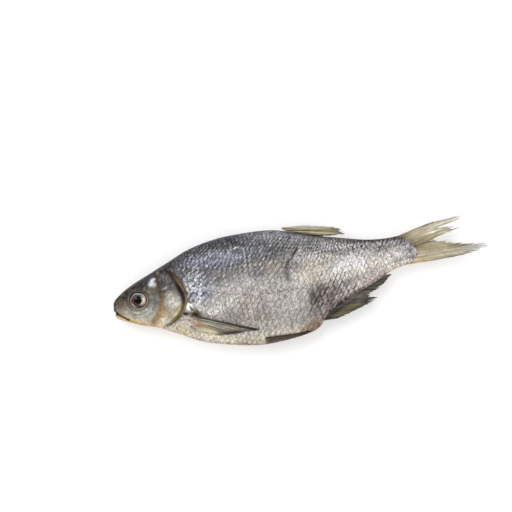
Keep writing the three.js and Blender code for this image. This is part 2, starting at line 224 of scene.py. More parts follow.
# The colours of the bands and zones were solved for by a least-squares fit to the
# photograph, and a few were then set one by one. They aren't colours chosen by eye.
flankPaint = {
    "frontBands": [(0, (68, 68, 72)), (0.08, (82, 81, 86)), (0.16, (102, 101, 100)), (0.26, (111, 112, 117)),
                   (0.36, (126, 124, 129)), (0.46, (190, 187, 183)), (0.56, (196, 189, 185)),
                   (0.66, (179, 173, 170)), (0.76, (171, 163, 156)), (0.86, (186, 183, 176)),
                   (0.93, (217, 206, 191)), (0.98, (214, 190, 166)), (1, (140, 108, 92))],
    "rearBands": [(0, (96, 88, 80)), (0.1, (169, 167, 167)), (0.2, (162, 162, 164)), (0.3, (165, 160, 148)),
                  (0.42, (213, 208, 205)), (0.52, (237, 233, 225)), (0.64, (231, 225, 213)),
                  (0.76, (144, 138, 132)), (0.9, (126, 87, 63)), (1, (110, 92, 86))],
    "zones": [
        (80, 22.5, 24, 4.5, -3, (165, 168, 187), 0.65),  # silver blue skin with a painted highlight along the upper flank
        (57, 0, 5.5, 9, 8, (176, 181, 181), 0.95),  # silver skin of the shoulder with painted highlights
        (66, 2, 8, 9, 0, (84, 97, 130), 0.5),
        # smooth silver white behind the gill, with painted highlights
        (62, -8, 5, 3.5, 0, (244, 242, 233), 0.55),
        (70, -13.4, 6, 3, -20, (251, 252, 248), 0.6),
        (95, 12, 28, 4.5, 6, (151, 147, 133), 0.5),  # painted shade in the trough above the ribs
        (118, 9, 9, 6, 0, (190, 176, 149), 0.4),
        (94.5, 17, 1.6, 1.1, 40, (45, 44, 44), 0.9),
        (85, 15, 1.6, 0.9, 20, (72, 71, 65), 0.8),
        (74, 14, 3, 1.4, -20, (136, 134, 130), 0.6),
        (126, 13, 3.0, 9, -30, (146, 140, 130), 0.6),  # shade before the crease
        (124, 30, 22, 4.5, -10, (178, 177, 181), 0.65),
        (146, 12, 18, 4, -6, (237, 232, 229), 0.5),
        (150, -15, 10.5, 12, 16, (89, 76, 68), 0.85),  # dark patch above the vent
        (142, -18, 4.4, 9, 10, (54, 46, 40), 0.8),
        (148, -28, 6, 8, 20, (163, 149, 145), 0.8),
        (170, -14, 14, 5, 22, (244, 240, 236), 0.6),
        (172, 6.4, 15, 4.6, 6, (214, 213, 212), 0.92),  # painted highlight on the silver rear flank
        (143, 2, 12, 7, 8, (236, 224, 202), 0.6),
        (95, -15, 11, 7, 0, (199, 187, 176), 0.5),  # faint red along the belly
        (122, -20, 14, 8, 0, (213, 208, 205), 0.35),
        (83, -9.4, 5, 2.7, -10, (239, 242, 229), 0.6),
        (70, -34, 16, 5, -24, (250, 240, 212), 0.85),
        (44, 25, 5.4, 3.2, 30, (4, 4, 6), 0.95),  # dark ridge behind the head
        (103, -38, 14, 4, -4, (213, 206, 186), 0.75),
        (138, -37, 9, 3.2, 12, (141, 119, 95), 0.75),
        (204, -3.6, 16, 2.4, 12, (255, 242, 224), 0.9),  # pale orange lower edge before the tail
        (168, 15.5, 14, 2.8, -8, (214, 209, 208), 0.55),
        (190, 17.2, 26, 1.5, -6, (44, 42, 42), 0.85),
        (94, 3.5, 8, 4, 0, (208, 203, 197), 0.5),
        # painted highlight on the silver rear flank
        (171, 2.6, 9, 4, 4, (258, 256, 253), 0.7),
        (155, -3.4, 8, 3.5, 0, (242, 236, 230), 0.6),
        (141.5, -2, 3.5, 3, 0, (172, 164, 156), 0.5),
        (200, -1.4, 13, 3, 8, (254, 246, 240), 0.6),
        (183, -10.6, 9, 4.5, 20, (242, 230, 224), 0.65),
        (74, -9.4, 6, 4, -10, (236, 232, 226), 0.45),
        (164, -19, 6, 3.5, 25, (180, 168, 164), 0.5),
        (94, -37.4, 8, 2.5, -6, (218, 207, 186), 0.5),
        (213, 8, 4, 9, -12, (132, 123, 115), 0.5),
        (46, -23, 9, 4, -30, (239, 222, 176), 0.8),  # throat
        (40, 23, 7, 4, 30, (64, 60, 56), 0.85),  # nape
    ],
    # points of the path, how many steps it gets, width, colour, strength
    "strokes": [
        ([(138.2, 21.4), (136.2, 18.8), (131.2, 13.4), (127.8, 7.7), (127.6, 2.4), (128.6, -2.6)], 16,
         1.3, (216, 212, 202), 0.5),  # painted highlight on the lit edge of the crease, then painted shade in the crease
        (creasePoints, 16, 1.15, (14, 12, 13), 1.0),
        ([(128, 33.2), (140, 29.6), (152, 26.2), (166, 23.2)], 10,
         1.1, (14, 13, 13), 0.95),  # shade below the back fin
        ([(84.5, 25.2), (88, 24.5), (91, 25.8), (94.4, 26.2), (97.5, 24.4)], 12,
         0.55, (48, 46, 50), 0.9),  # painted shade in a small fold of the back, then a painted highlight on its edge
        ([(86, 26.5), (90, 27), (94, 27.6), (98.4, 26)], 10, 0.55, (224, 226, 236), 0.8),
        # painted shadow along a fold of the rear flank
        ([(140, 20), (155, 14.8), (175, 12.8), (195, 11.4), (209, 10.2)], 14,
         0.7, (112, 106, 102), 0.6),
        ([(104, 19), (118, 17.4), (130, 18.4)], 8, 0.9, (92, 90, 90), 0.45),
        ([(50, -29.8), (60, -33.4), (72, -36.9), (85, -40.1), (98, -41.9)], 12,
         1.2, (158, 128, 96), 0.85),  # tan edge of the belly, then the shade by the belly fin
        ([(102, -42.2), (112, -42.2), (120, -41.6), (134, -39.6)], 10, 1.3, (34, 27, 22), 0.9),
        ([(145, -33.4), (150, -29), (158, -23.4), (166, -19.4)], 10, 1.5, (50, 41, 44), 0.9),
        ([(164, -20.2), (172, -16.6), (182, -12.6), (189, -9.6)], 10, 0.8, (96, 82, 78), 0.6),
    ],
    # marks as on the head; on the shoulder and the upper flank they are painted glints of the silver scales,
    # with darker dashes between
    "marks": [
        ((59.5, 3), (7.5, 12), 55, 240, ((255, 255, 255), (56, 58, 76), (236, 238, 255)), 0.85),
        ((84, 23), (26, 5), 48, 260, ((214, 219, 242), (54, 54, 62)), 0.65),
        ((105, 31), (30, 4), 48, 200, ((150, 152, 170), (40, 40, 44)), 0.65),
        ((100, 8), (34, 9), 60, 240, ((188, 184, 172), (88, 86, 84)), 0.45),
        ((153, -14), (9, 13), 75, 150, ((226, 214, 216), (58, 46, 44)), 0.55),
        ((78, -34), (26, 4), 30, 320, ((255, 253, 250), (196, 172, 156), (240, 234, 214)), 0.5),
        ((213, 7), (6, 9), 60, 120, ((52, 52, 80), (226, 224, 232)), 0.85),
        ((178, 14), (26, 3), 30, 70, ((64, 62, 64), (150, 146, 146)), 0.5),
        ((134, -36), (12, 3), 10, 50, ((196, 148, 130), (110, 84, 76)), 0.5),
    ],
}


def flankColour(s, t, small=False):
    # small also paints the strokes and the scattered marks
    share = depthShare(s, t)
    rear = ease(s, 118, 162)[..., None]
    colour = bandColour(flankPaint["frontBands"], share) * (1 - rear)
    colour += bandColour(flankPaint["rearBands"], share) * rear
    colour = paintZones(colour, s, t, flankPaint["zones"])
    if small:
        for points, steps, width, tint, strength in flankPaint["strokes"]:
            path = smoothPath(points, steps)
            near = np.hypot(s - path[:, 0].mean(), t - path[:, 1].mean()) < 40
            colour[near] = strokePaint(colour[near], s[near], t[near], path, width, tint, strength)
        colour = paintMarks(colour, s, t, flankPaint["marks"], 73)
    return colour


def paintMarks(colour, s, t, marks, seed, turned=False):
    # small slanting marks of skin and scratches, and painted glints, scattered round a middle;
    # turned also turns the patch that they lie in
    chance = np.random.default_rng(seed)
    for middle, spread, turn, count, tints, strength in marks:
        c, k = math.cos(math.radians(turn)), math.sin(math.radians(turn))
        for i in range(count):
            x, y = chance.normal(0, 0.6, 2) * spread
            long, wide = chance.uniform(0.6, 1.6), chance.uniform(0.3, 0.55)
            if turned:
                x, y = x * c - y * k, x * k + y * c
            zone = (middle[0] + x, middle[1] + y, long, wide,
                    turn + chance.normal(0, 30), tints[i % len(tints)], strength * chance.uniform(0.4, 1.0))
            near = np.abs(s - zone[0]) + np.abs(t - zone[1]) < 4
            colour[near] = paintZones(colour[near], s[near], t[near], [zone])
    return colour


def deselectAll():
    if bpy.context.object and bpy.context.object.mode != "OBJECT":
        bpy.ops.object.mode_set(mode="OBJECT")
    bpy.ops.object.select_all(action="DESELECT")


def named(name):
    piece = bpy.context.object
    piece.name = name
    piece.data.name = name
    return piece


def makeBall(name, segments, rings):
    deselectAll()
    bpy.ops.mesh.primitive_uv_sphere_add(segments=segments, ring_count=rings)
    return named(name)


def makeGrid(name, columns, rows):
    deselectAll()
    bpy.ops.mesh.primitive_grid_add(x_subdivisions=columns, y_subdivisions=rows, size=2)
    return named(name)


def addObject(name, data):
    added = bpy.data.objects.new(name, data)
    bpy.context.scene.collection.objects.link(added)
    return added


def pointsOf(piece):
    points = np.empty(len(piece.data.vertices) * 3)
    piece.data.vertices.foreach_get("co", points)
    return points.reshape(-1, 3)


def setPoints(piece, points):
    piece.data.vertices.foreach_set("co", np.ascontiguousarray(points, float).ravel())
    piece.data.update()


def setColour(piece, name, colour):
    colour = np.broadcast_to(colour, (len(piece.data.vertices), 3))
    layer = piece.data.color_attributes.new(name, "FLOAT_COLOR", "POINT")
    layer.data.foreach_set("color", np.hstack([colour, np.ones((len(colour), 1))]).ravel())


def setValue(piece, name, value):
    layer = piece.data.attributes.new(name, "FLOAT", "POINT")
    layer.data.foreach_set("value", np.broadcast_to(value, len(piece.data.vertices)).astype(np.float32))


def setMap(piece, name, places):
    # a UV map from one place for each vertex
    loops = np.empty(len(piece.data.loops), np.int64)
    piece.data.loops.foreach_get("vertex_index", loops)
    layer = piece.data.uv_layers.new(name=name)
    layer.data.foreach_set("uv", places[loops].ravel())


def activate(piece):
    deselectAll()
    piece.select_set(True)
    bpy.context.view_layer.objects.active = piece


def turnFaces(piece):
    # the mirrored copies of the under flank come out with their faces inwards
    activate(piece)
    bpy.ops.object.mode_set(mode="EDIT")
    bpy.ops.mesh.select_all(action="SELECT")
    bpy.ops.mesh.flip_normals()
    bpy.ops.object.mode_set(mode="OBJECT")


def applyModifier(piece, kind, **settings):
    activate(piece)
    bpy.ops.object.modifier_add(type=kind)
    modifier = piece.modifiers[-1]
    for key, value in settings.items():
        setattr(modifier, key, value)
    bpy.ops.object.modifier_apply(modifier=modifier.name)


def smoothFaces(piece, angle=None):
    activate(piece)
    if angle is None:
        bpy.ops.object.shade_smooth()
    else:
        bpy.ops.object.shade_smooth_by_angle(angle=math.radians(angle))


def finishPiece(piece, material):
    piece.data.materials.clear()
    piece.data.materials.append(material)
    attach(piece, "root")
    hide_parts("fish")
    return piece


def copiesJoined(name, blank, allPoints):
    # one blank, copied to every place in allPoints and joined to one mesh
    count = len(allPoints)
    faces = [list(p.vertices) for p in blank.data.polygons]
    size = len(blank.data.vertices)
    joined = bpy.data.meshes.new(name)
    allFaces = [[copy * size + v for v in face] for copy in range(count) for face in faces]
    joined.from_pydata(np.concatenate(allPoints).tolist(), [], allFaces)
    bpy.data.objects.remove(blank)
    return addObject(name, joined)


class Nodes:
    # one material and short ways to add its nodes
    def __init__(self, name):
        self.material = bpy.data.materials.new(name)
        self.material.use_nodes = True
        self.tree = self.material.node_tree
        self.shader = self.tree.nodes["Principled BSDF"]

    def add(self, kind, **settings):
        node = self.tree.nodes.new(kind)
        for key, value in settings.items():
            setattr(node, key, value)
        return node

    def link(self, out, into):
        self.tree.links.new(out, into)

    def attribute(self, name):
        return self.add("ShaderNodeAttribute", attribute_name=name)

    def noise(self, scale, detail=3.0, rough=0.55, vector=None, stretch=(1, 1, 1), turn=0):
        vector = vector or self.add("ShaderNodeTexCoord").outputs["Object"]
        if turn:
            turned = self.add("ShaderNodeMapping")
            turned.inputs["Rotation"].default_value = (0, 0, math.radians(turn))
            self.link(vector, turned.inputs["Vector"])
            vector = turned.outputs[0]
        mapping = self.add("ShaderNodeMapping")
        mapping.inputs["Scale"].default_value = stretch
        self.link(vector, mapping.inputs["Vector"])
        node = self.add("ShaderNodeTexNoise")
        node.inputs["Scale"].default_value = scale
        node.inputs["Detail"].default_value = detail
        node.inputs["Roughness"].default_value = rough
        self.link(mapping.outputs[0], node.inputs["Vector"])
        return node.outputs["Fac"]

    def ramp(self, value, low, high, toLow=0.0, toHigh=1.0):
        node = self.add("ShaderNodeMapRange", interpolation_type="SMOOTHSTEP")
        for i, number in enumerate((low, high, toLow, toHigh), start=1):
            node.inputs[i].default_value = number
        self.link(value, node.inputs[0])
        return node.outputs[0]

    def math(self, operation, a, b):
        node = self.add("ShaderNodeMath", operation=operation)
        for i, value in enumerate((a, b)):
            if isinstance(value, (int, float)):
                node.inputs[i].default_value = value
            else:
                self.link(value, node.inputs[i])
        return node.outputs[0]

    def mix(self, factor, a, b, kind="MIX"):
        node = self.add("ShaderNodeMix", data_type="RGBA", blend_type=kind)
        if isinstance(factor, (int, float)):
            node.inputs[0].default_value = factor
        else:
            self.link(factor, node.inputs[0])
        for i, value in ((6, a), (7, b)):
            if isinstance(value, tuple):
                node.inputs[i].default_value = (*value, 1)
            else:
                self.link(value, node.inputs[i])
        return node.outputs[2]

    def scale(self, colour, value):
        node = self.add("ShaderNodeVectorMath", operation="SCALE")
        self.link(colour, node.inputs[0])
        self.link(value, node.inputs["Scale"])
        return node.outputs[0]

    def bump(self, height, distance, strength=1.0, onto=None):
        node = self.add("ShaderNodeBump")
        node.inputs["Strength"].default_value = strength
        node.inputs["Distance"].default_value = distance
        self.link(height, node.inputs["Height"])
        if onto is not None:
            self.link(onto, node.inputs["Normal"])
        return node.outputs[0]

    def finish(self, colour, roughness, gloss, normal):
        # roughness is one value, or the scale of a noise and the two values it runs between
        self.link(colour, self.shader.inputs["Base Color"])
        if isinstance(roughness, tuple):
            scale, low, high = roughness
            self.link(self.ramp(self.noise(scale, 3), 0.3, 0.7, low, high), self.shader.inputs["Roughness"])
        else:
            self.shader.inputs["Roughness"].default_value = roughness
        self.shader.inputs["Specular IOR Level"].default_value = gloss
        self.link(normal, self.shader.inputs["Normal"])
        return self.material


def linear(*colour):
    return tuple(float(c) for c in toLinear(colour))


def edgeBend(n, place):
    # how far the free edge of a scale draws back, away from its point
    bend = n.math("DIVIDE", n.math("POWER", place, 2.0), n.math("ADD", place, 0.15))
    return n.math("MULTIPLY", bend, 0.588)


scalePaint = {
    "strokeStretch": (560, 1450, 800),
    "strokeTurns": (-54, -103),  # in degrees, along the two sides of a scale
    "silverGlint": (231, 229, 234),
    "edge": (92, 78, 74),
    "pore": (48, 38, 38),
}


def scaledSkinMaterial():
    n = Nodes("scaledSkin")
    tint = n.attribute("tint").outputs["Color"]
    net = n.attribute("net").outputs["Fac"]
    silverGlint = n.attribute("silverGlint").outputs["Fac"]
    pore = n.attribute("pore").outputs["Fac"]
    onScale = n.add("ShaderNodeUVMap", uv_map="scaleMap").outputs[0]
    parts = n.add("ShaderNodeSeparateXYZ")
    n.link(onScale, parts.inputs[0])
    along, across = parts.outputs[0], parts.outputs[1]  # in pitches from the middle of the scale
    side = n.math("ABSOLUTE", across, 0.0)
    # how far a point lies behind the scales ahead, and before its own free edge
    ahead = n.math("SUBTRACT", 0.55, edgeBend(n, n.math("MAXIMUM", n.math("SUBTRACT", 1.0, side), 0.0)))
    emerged = n.math("SUBTRACT", along, ahead)
    free = n.math("MAXIMUM", n.math("SUBTRACT", n.math("SUBTRACT", 1.05, edgeBend(n, side)), along), 0.0)
    wander = n.math("SUBTRACT", n.noise(1100, 3), 0.5)
    ragged = n.math("ADD", emerged, n.math("MULTIPLY", wander, 0.2))
    blotch = n.ramp(n.noise(300, 4, 0.6), 0.28, 0.72, 0.84, 1.16)
    colour = n.scale(tint, blotch)
    # crumpled silver: fine crossing strokes along the two sides of the scales
    rough = n.attribute("crumple").outputs["Fac"]
    foil, crossing = (n.noise(1, 2, 0.5, stretch=scalePaint["strokeStretch"], turn=turn)
                      for turn in scalePaint["strokeTurns"])
    for strokes in (foil, crossing):
        crumple = n.math("MULTIPLY", n.ramp(strokes, 0.34, 0.66, -1.0, 1.0), rough)
        colour = n.scale(colour, n.math("ADD", crumple, 1.0))
    colour = n.scale(colour, n.ramp(ragged, 0.05, 0.8, 0.95, 1.08))
    # thin dark line where a scale comes out from under the ones ahead: dark pigment, with painted shade under
    # their edges
    root = n.ramp(n.math("SUBTRACT", ragged, n.math("MULTIPLY", net, 0.13)), -0.08, 0.12, 0.92, 0.0)
    root = n.math("MULTIPLY", root, n.ramp(ragged, -0.5, -0.16, 0.4, 1.0))
    line = n.math("MULTIPLY", n.math("MULTIPLY", root, net), n.ramp(across, -0.3, 0.3, 0.95, 1.12))
    colour = n.scale(colour, n.math("SUBTRACT", 1.0, n.math("MINIMUM", line, 0.93)))
    # painted glint: a slanting light stroke on the bright scales, where the silver flecks show
    glintStroke = n.math("ABSOLUTE", n.math("SUBTRACT", n.math("SUBTRACT", ragged, 0.5),
                                       n.math("MULTIPLY", across, 0.3)), 0.0)
    glintStroke = n.math("MULTIPLY", n.ramp(glintStroke, 0.04, 0.22, 1.0, 0.0), n.ramp(side, 0.25, 0.7, 1.0, 0.0))
    colour = n.mix(n.math("MULTIPLY", glintStroke, silverGlint), colour, linear(*scalePaint["silverGlint"]))
    rim = n.math("MULTIPLY", n.ramp(free, 0.02, 0.1, 1.0, 0.0), n.ramp(net, 0.0, 1.0, 0.1, 0.4))
    colour = n.mix(rim, colour, linear(*scalePaint["edge"]))
    # the pores of the side line
    dash = n.math("ABSOLUTE", n.math("SUBTRACT", emerged, 0.45), 0.0)
    hole = n.math("MULTIPLY", n.ramp(side, 0.07, 0.19, 1.0, 0.0), n.ramp(dash, 0.2, 0.34, 1.0, 0.0))
    colour = n.mix(n.math("MULTIPLY", hole, pore), colour, linear(*scalePaint["pore"]))
    n.link(n.ramp(silverGlint, 0.0, 1.0, 0.0, 0.3), n.shader.inputs["Metallic"])
    return n.finish(colour, (260, 0.32, 0.52), 0.3, n.bump(foil, 0.0002, 0.8))


def bareSkinMaterial(name, wrinkle, mottle):
    n = Nodes(name)
    tint = n.attribute("tint").outputs["Color"]
    broad = n.ramp(n.noise(150, 4, 0.65), 0.3, 0.7, 1 - mottle, 1 + mottle)
    blotch = n.ramp(n.noise(430, 5, 0.65), 0.3, 0.7, 1 - mottle, 1 + mottle)
    colour = n.scale(n.scale(tint, broad), blotch)
    colour = n.scale(colour, n.ramp(n.noise(620, 3, 0.6), 0.58, 0.7, 1.0, 0.5))
    colour = n.scale(colour, n.ramp(n.noise(560, 4, 0.65, stretch=(1, 0.6, 1)), 0.56, 0.7, 1.0, 1.4))
    folds = n.bump(n.noise(230, 4, 0.6), wrinkle, 0.8)
    return n.finish(colour, (240, 0.36, 0.6), 0.3, n.bump(n.noise(900, 3), 0.00012, 0.6, folds))


def finMaterial():
    n = Nodes("driedFin")
    tint = n.attribute("tint").outputs["Color"]
    along = n.add("ShaderNodeUVMap", uv_map="finMap").outputs[0]
    streak = n.noise(1, 4, 0.65, along, (2.4, 1.3, 1))
    colour = n.scale(tint, n.ramp(streak, 0.3, 0.68, 1.2, 0.7))
    # dark lines between the rays
    parts = n.add("ShaderNodeSeparateXYZ")
    n.link(along, parts.inputs[0])
    wander = n.math("MULTIPLY", n.noise(1, 2, 0.5, along, (5, 0.8, 1)), 0.9)
    between = n.math("PINGPONG", n.math("ADD", parts.outputs[1], wander), 0.5)
    colour = n.scale(colour, n.ramp(between, 0.0, 0.16, 0.5, 1.0))
    blotch = n.ramp(n.noise(240, 4), 0.3, 0.7, 0.86, 1.12)
    colour = n.scale(colour, blotch)
    return n.finish(colour, (300, 0.38, 0.6), 0.4, n.bump(streak, 0.0003, 0.6))


def eyeMaterial():
    n = Nodes("driedEye")
    tint = n.attribute("tint").outputs["Color"]
    cloud = n.ramp(n.noise(600, 4), 0.35, 0.7)
    colour = n.mix(n.math("MULTIPLY", cloud, 0.3), tint, linear(120, 104, 96), "MULTIPLY")
    return n.finish(colour, 0.3, 0.06, n.bump(n.noise(420, 3), 0.00015, 0.5))


scaledSkin = scaledSkinMaterial()
underSkin = bareSkinMaterial("skinUnderScales", 0.00012, 0.12)
headSkin = bareSkinMaterial("headSkin", 0.0003, 0.2)
finRootSkin = bareSkinMaterial("finRootSkin", 0.0002, 0.08)
driedFin = finMaterial()
driedEye = eyeMaterial()
print("materials made")


photoView = {
    "turn": -9.5,  # of the photograph's level line, in degrees
    "centre": (106.0, 19.6),  # s and t in the middle of the picture
    "width": 362.9,  # in millimetres across the picture, at the middle of the fish
    "lens": 100,
}


def makeCamera():
    data = bpy.data.cameras.new("photoCamera")
    data.lens = photoView["lens"]
    data.sensor_width = 36
    camera = addObject("photoCamera", data)
    centre = toFrame(*photoView["centre"], 0)
    away = photoView["width"] / 1000 * data.lens / data.sensor_width
    camera.location = (centre[0], centre[1], centre[2] + away)
    camera.rotation_euler = (0, 0, math.radians(photoView["turn"]))
    data.clip_end = 10
    bpy.context.scene.camera = camera


makeCamera()


trunkValues = {
    "segments": 144,
    "rings": 170,
    "start": 29.0,  # hidden below the head
    "end": [(0, 205), (0.1, 208), (0.25, 211.6), (0.5, 215.2), (0.72, 216.8), (0.9, 215.4), (1, 212)],
    "underScales": 0.22,
    "underHead": 2.8,
    "finRoot": (54.5, -15.6, 12.5, 13),  # middle and reach of the bare skin at the breast fin
    "creaseDepth": 0.55,
    "sideLineDepth": 0.12,
    "dents": [(0.5, 140, 6, 16, 12), (-0.7, 96, 11, 26, 6), (-0.5, 118, -20, 22, 9), (0.35, 60, -1, 6, 10)],
}


def trunkRelief(s, t):
    # dents and folds of the dried flank, in millimetres outwards
    crease, along = distanceTo(smoothPath(creasePoints, 16), s, t)
    relief = -trunkValues["creaseDepth"] * bell(crease, 1.1) * ease(along, 0, 0.2) * (1 - ease(along, 0.8, 1))
    relief -= trunkValues["sideLineDepth"] * bell(t - sideLineAt(s), 0.8)
    return relief + mounds(s, t, trunkValues["dents"])


def aroundBall(ball):
    # for each point of a sphere: share of the length, turn round the body, share of the depth
    f = 1 - np.arccos(np.clip(ball[:, 2], -1, 1)) / math.pi
    turn = np.arctan2(ball[:, 1], ball[:, 0])
    return f, turn, ((1 - np.cos(turn)) / 2) ** (1 / depthSkew)


def onSection(s, turn, share, opened):
    # t, side and height on the body's section; where opened nears 0 the section shrinks to a point
    back, belly = backAt(s), bellyAt(s)
    t = back - (back - belly) * (0.5 + (share - 0.5) * opened)
    side = np.sign(np.round(np.sin(turn), 9))
    return t, side, halfAt(s) * np.abs(np.sin(turn)) ** fullness(share) * opened


def buildTrunk():
    values = trunkValues
    trunk = makeBall("trunkSkin", values["segments"], values["rings"])
    f, turn, share = aroundBall(pointsOf(trunk))
    end = np.interp(share, [p[0] for p in values["end"]], [p[1] for p in values["end"]])
    s = values["start"] + (end - values["start"]) * f
    t, side, height = onSection(s, turn, share, ease(f, 0, 0.012) * (1 - ease(f, 0.99, 1.0)))
    inside = 1 - ease(s - rimAt(share), -2.4, -1.0)
    rootRim = np.sqrt(ovalDistance(s, t, *values["finRoot"]))
    inside = np.maximum(inside, 0.75 * (1 - ease(rootRim, 0.62, 0.95)))
    lift = trunkRelief(s, t) - values["underScales"] - values["underHead"] * inside
    setPoints(trunk, toFrame(s, t, side * (height + lift * ease(height, 0, 3))))
    setColour(trunk, "tint", flankColour(s, t) * 0.8)
    smoothFaces(trunk)
    return finishPiece(trunk, underSkin)


buildTrunk()
print("trunk made")


headValues = {
    "segments": 200,
    "rings": 170,
    "rimShare": 0.86,  # of the rings from the snout to the edge of the gill cover
    "rimLift": 1.25,
    "tuck": 1.6,
    "nostrils": [(9.3, 5.8, 0.8), (11.6, 8.1, 1.1)],  # s, t, radius
    "mounds": [(0.5, 31.5, 14, 2.4, 2.4)],  # the temple
    # path, width and depth of the folds
    "folds": [("jaw", 0.7, 0.6), ("lowerPlate", 0.6, 0.5), ("underEye", 0.55, 0.3), ("rimLine", 0.35, 0.35),
              ("cheekFold", 0.6, 0.25), ("browFold", 0.6, 0.3), ("topPlate", 0.9, 0.4), ("crown", 1.4, 0.4)],
}
headPaths = {
    "mouth": [(-1.5, -3.6), (1, -4.2), (3, -5.2), (5.6, -7), (8.4, -9), (11.2, -10.8)],
    "snoutEdge": [(6, 8), (2.4, 5), (0.5, 2.2), (-0.1, -0.4), (0.3, -2.4), (1.4, -4.2), (3.4, -5.4)],
    "jaw": [(8, -8.6), (12, -11.4), (16.5, -13.6), (21, -16.6), (25.5, -17.6)],
    "cheekGroove": [(34, 17), (35.2, 12), (35.6, 8.6), (35.2, 3.4), (35, -2.5), (32.8, -8.4), (29, -12.4),
                    (26, -17)],
    "gillSlit": [(43.2, 19), (45, 15.4), (47, 10.8), (49.6, 5), (50.9, -1.6), (49.4, -6.4), (45.6, -12.2),
                 (40.4, -15.9), (34, -19.2)],
    "rimLine": [(45.6, 17.6), (48.4, 13), (50.8, 7.6), (52.3, 1.6), (51, -4.8), (46.8, -11.6), (41.4, -16.2)],
    "lowerPlate": [(50, -4.4), (45.4, -8.2), (40.4, -12.2), (35.8, -14.6)],
    "underEye": [(10, -2.6), (13, -6), (19, -7.6), (25, -5.4), (27.6, -1), (28, 4)],
    "cheekFold": [(11, -6.4), (16, -9.4), (22, -10), (28, -7), (30.6, -1)],
    "browFold": [(10.6, 5), (13.4, 9.4), (19, 11.4), (25.6, 9.6), (28.6, 5)],
    "topPlate": [(37, 15.4), (40.6, 10.4), (45, 9.6), (47.4, 8)],
    "crown": [(12, 12), (20, 15.5), (28, 17.8), (36, 20.5)],
}
headPaths = {name: smoothPath(path, 26) for name, path in headPaths.items()}
eyeValues = {
    "centre": (19.1, 2.6),
    "radius": (6.1, 5.5),
    "pupil": (19.3, 2.7),
    "pupilRadius": 2.6,
    "overlap": 1.03,  # of the ball over the opening
    "dome": 2.2,
    "sink": 0.6,
    "lens": (0.7, 2.6),  # height and reach of the bulge over the pupil
    "hollow": (0.5, 4.2, 1.2),  # depth, distance and width of the sunk ring round it
    "segments": 96,
    "rings": 72,
}


def eyeDistance(s, t):
    # 1 on the edge of the eye opening
    cs, ct = eyeValues["centre"]
    rs, rt = eyeValues["radius"]
    return np.hypot((s - cs) / rs, (t - ct) / rt)


def hollow(d, width, depth):
    return -depth * bell(d, width)


def headRelief(s, t):
    e = eyeDistance(s, t)
    relief = -1.5 * (1 - ease(e, 0.9, 1.08)) + 0.75 * bell(e - 1.16, 0.11)
    relief += hollow(e - 1.4, 0.12, 0.35)
    d, along = distanceTo(headPaths["mouth"], s, t)
    relief += hollow(d, 0.65, 1.9) * (1 - ease(along, 0.8, 1)) + 0.5 * bell(d - 1.5, 0.9)
    for name, width, depth in headValues["folds"]:
        d, along = distanceTo(headPaths[name], s, t)
        relief += hollow(d, width, depth) * ease(along, 0, 0.12) * (1 - ease(along, 0.88, 1))
    d, along = distanceTo(headPaths["cheekGroove"], s, t)
    relief += hollow(d, 0.85, 1.0) + 0.25 * bell(d - 2, 1)
    d, along = distanceTo(headPaths["gillSlit"], s, t)
    gape = 0.5 + 1.1 * bell(along - 0.4, 0.2)
    relief += hollow(d, 0.6 + 0.4 * gape, 1.0 + 0.8 * gape)
    for cs, ct, radius in headValues["nostrils"]:
        d = np.hypot(s - cs, t - ct) / radius
        relief += hollow(d, 0.9, 0.9) + 0.35 * bell(d - 1.7, 0.5)
    relief += mounds(s, t, headValues["mounds"])
    relief += 0.25 * np.sin(s * 0.9 + t * 0.5) * np.sin(t * 0.8 - s * 0.23) * ease(s, 6, 14)
    # the gill cover stands up from its hinge to its rim
    hinge = ease(s, 37, 50) * ease(depthShare(s, t), 0.08, 0.2) * (1 - ease(depthShare(s, t), 0.88, 0.96))
    return relief + headValues["rimLift"] * hinge
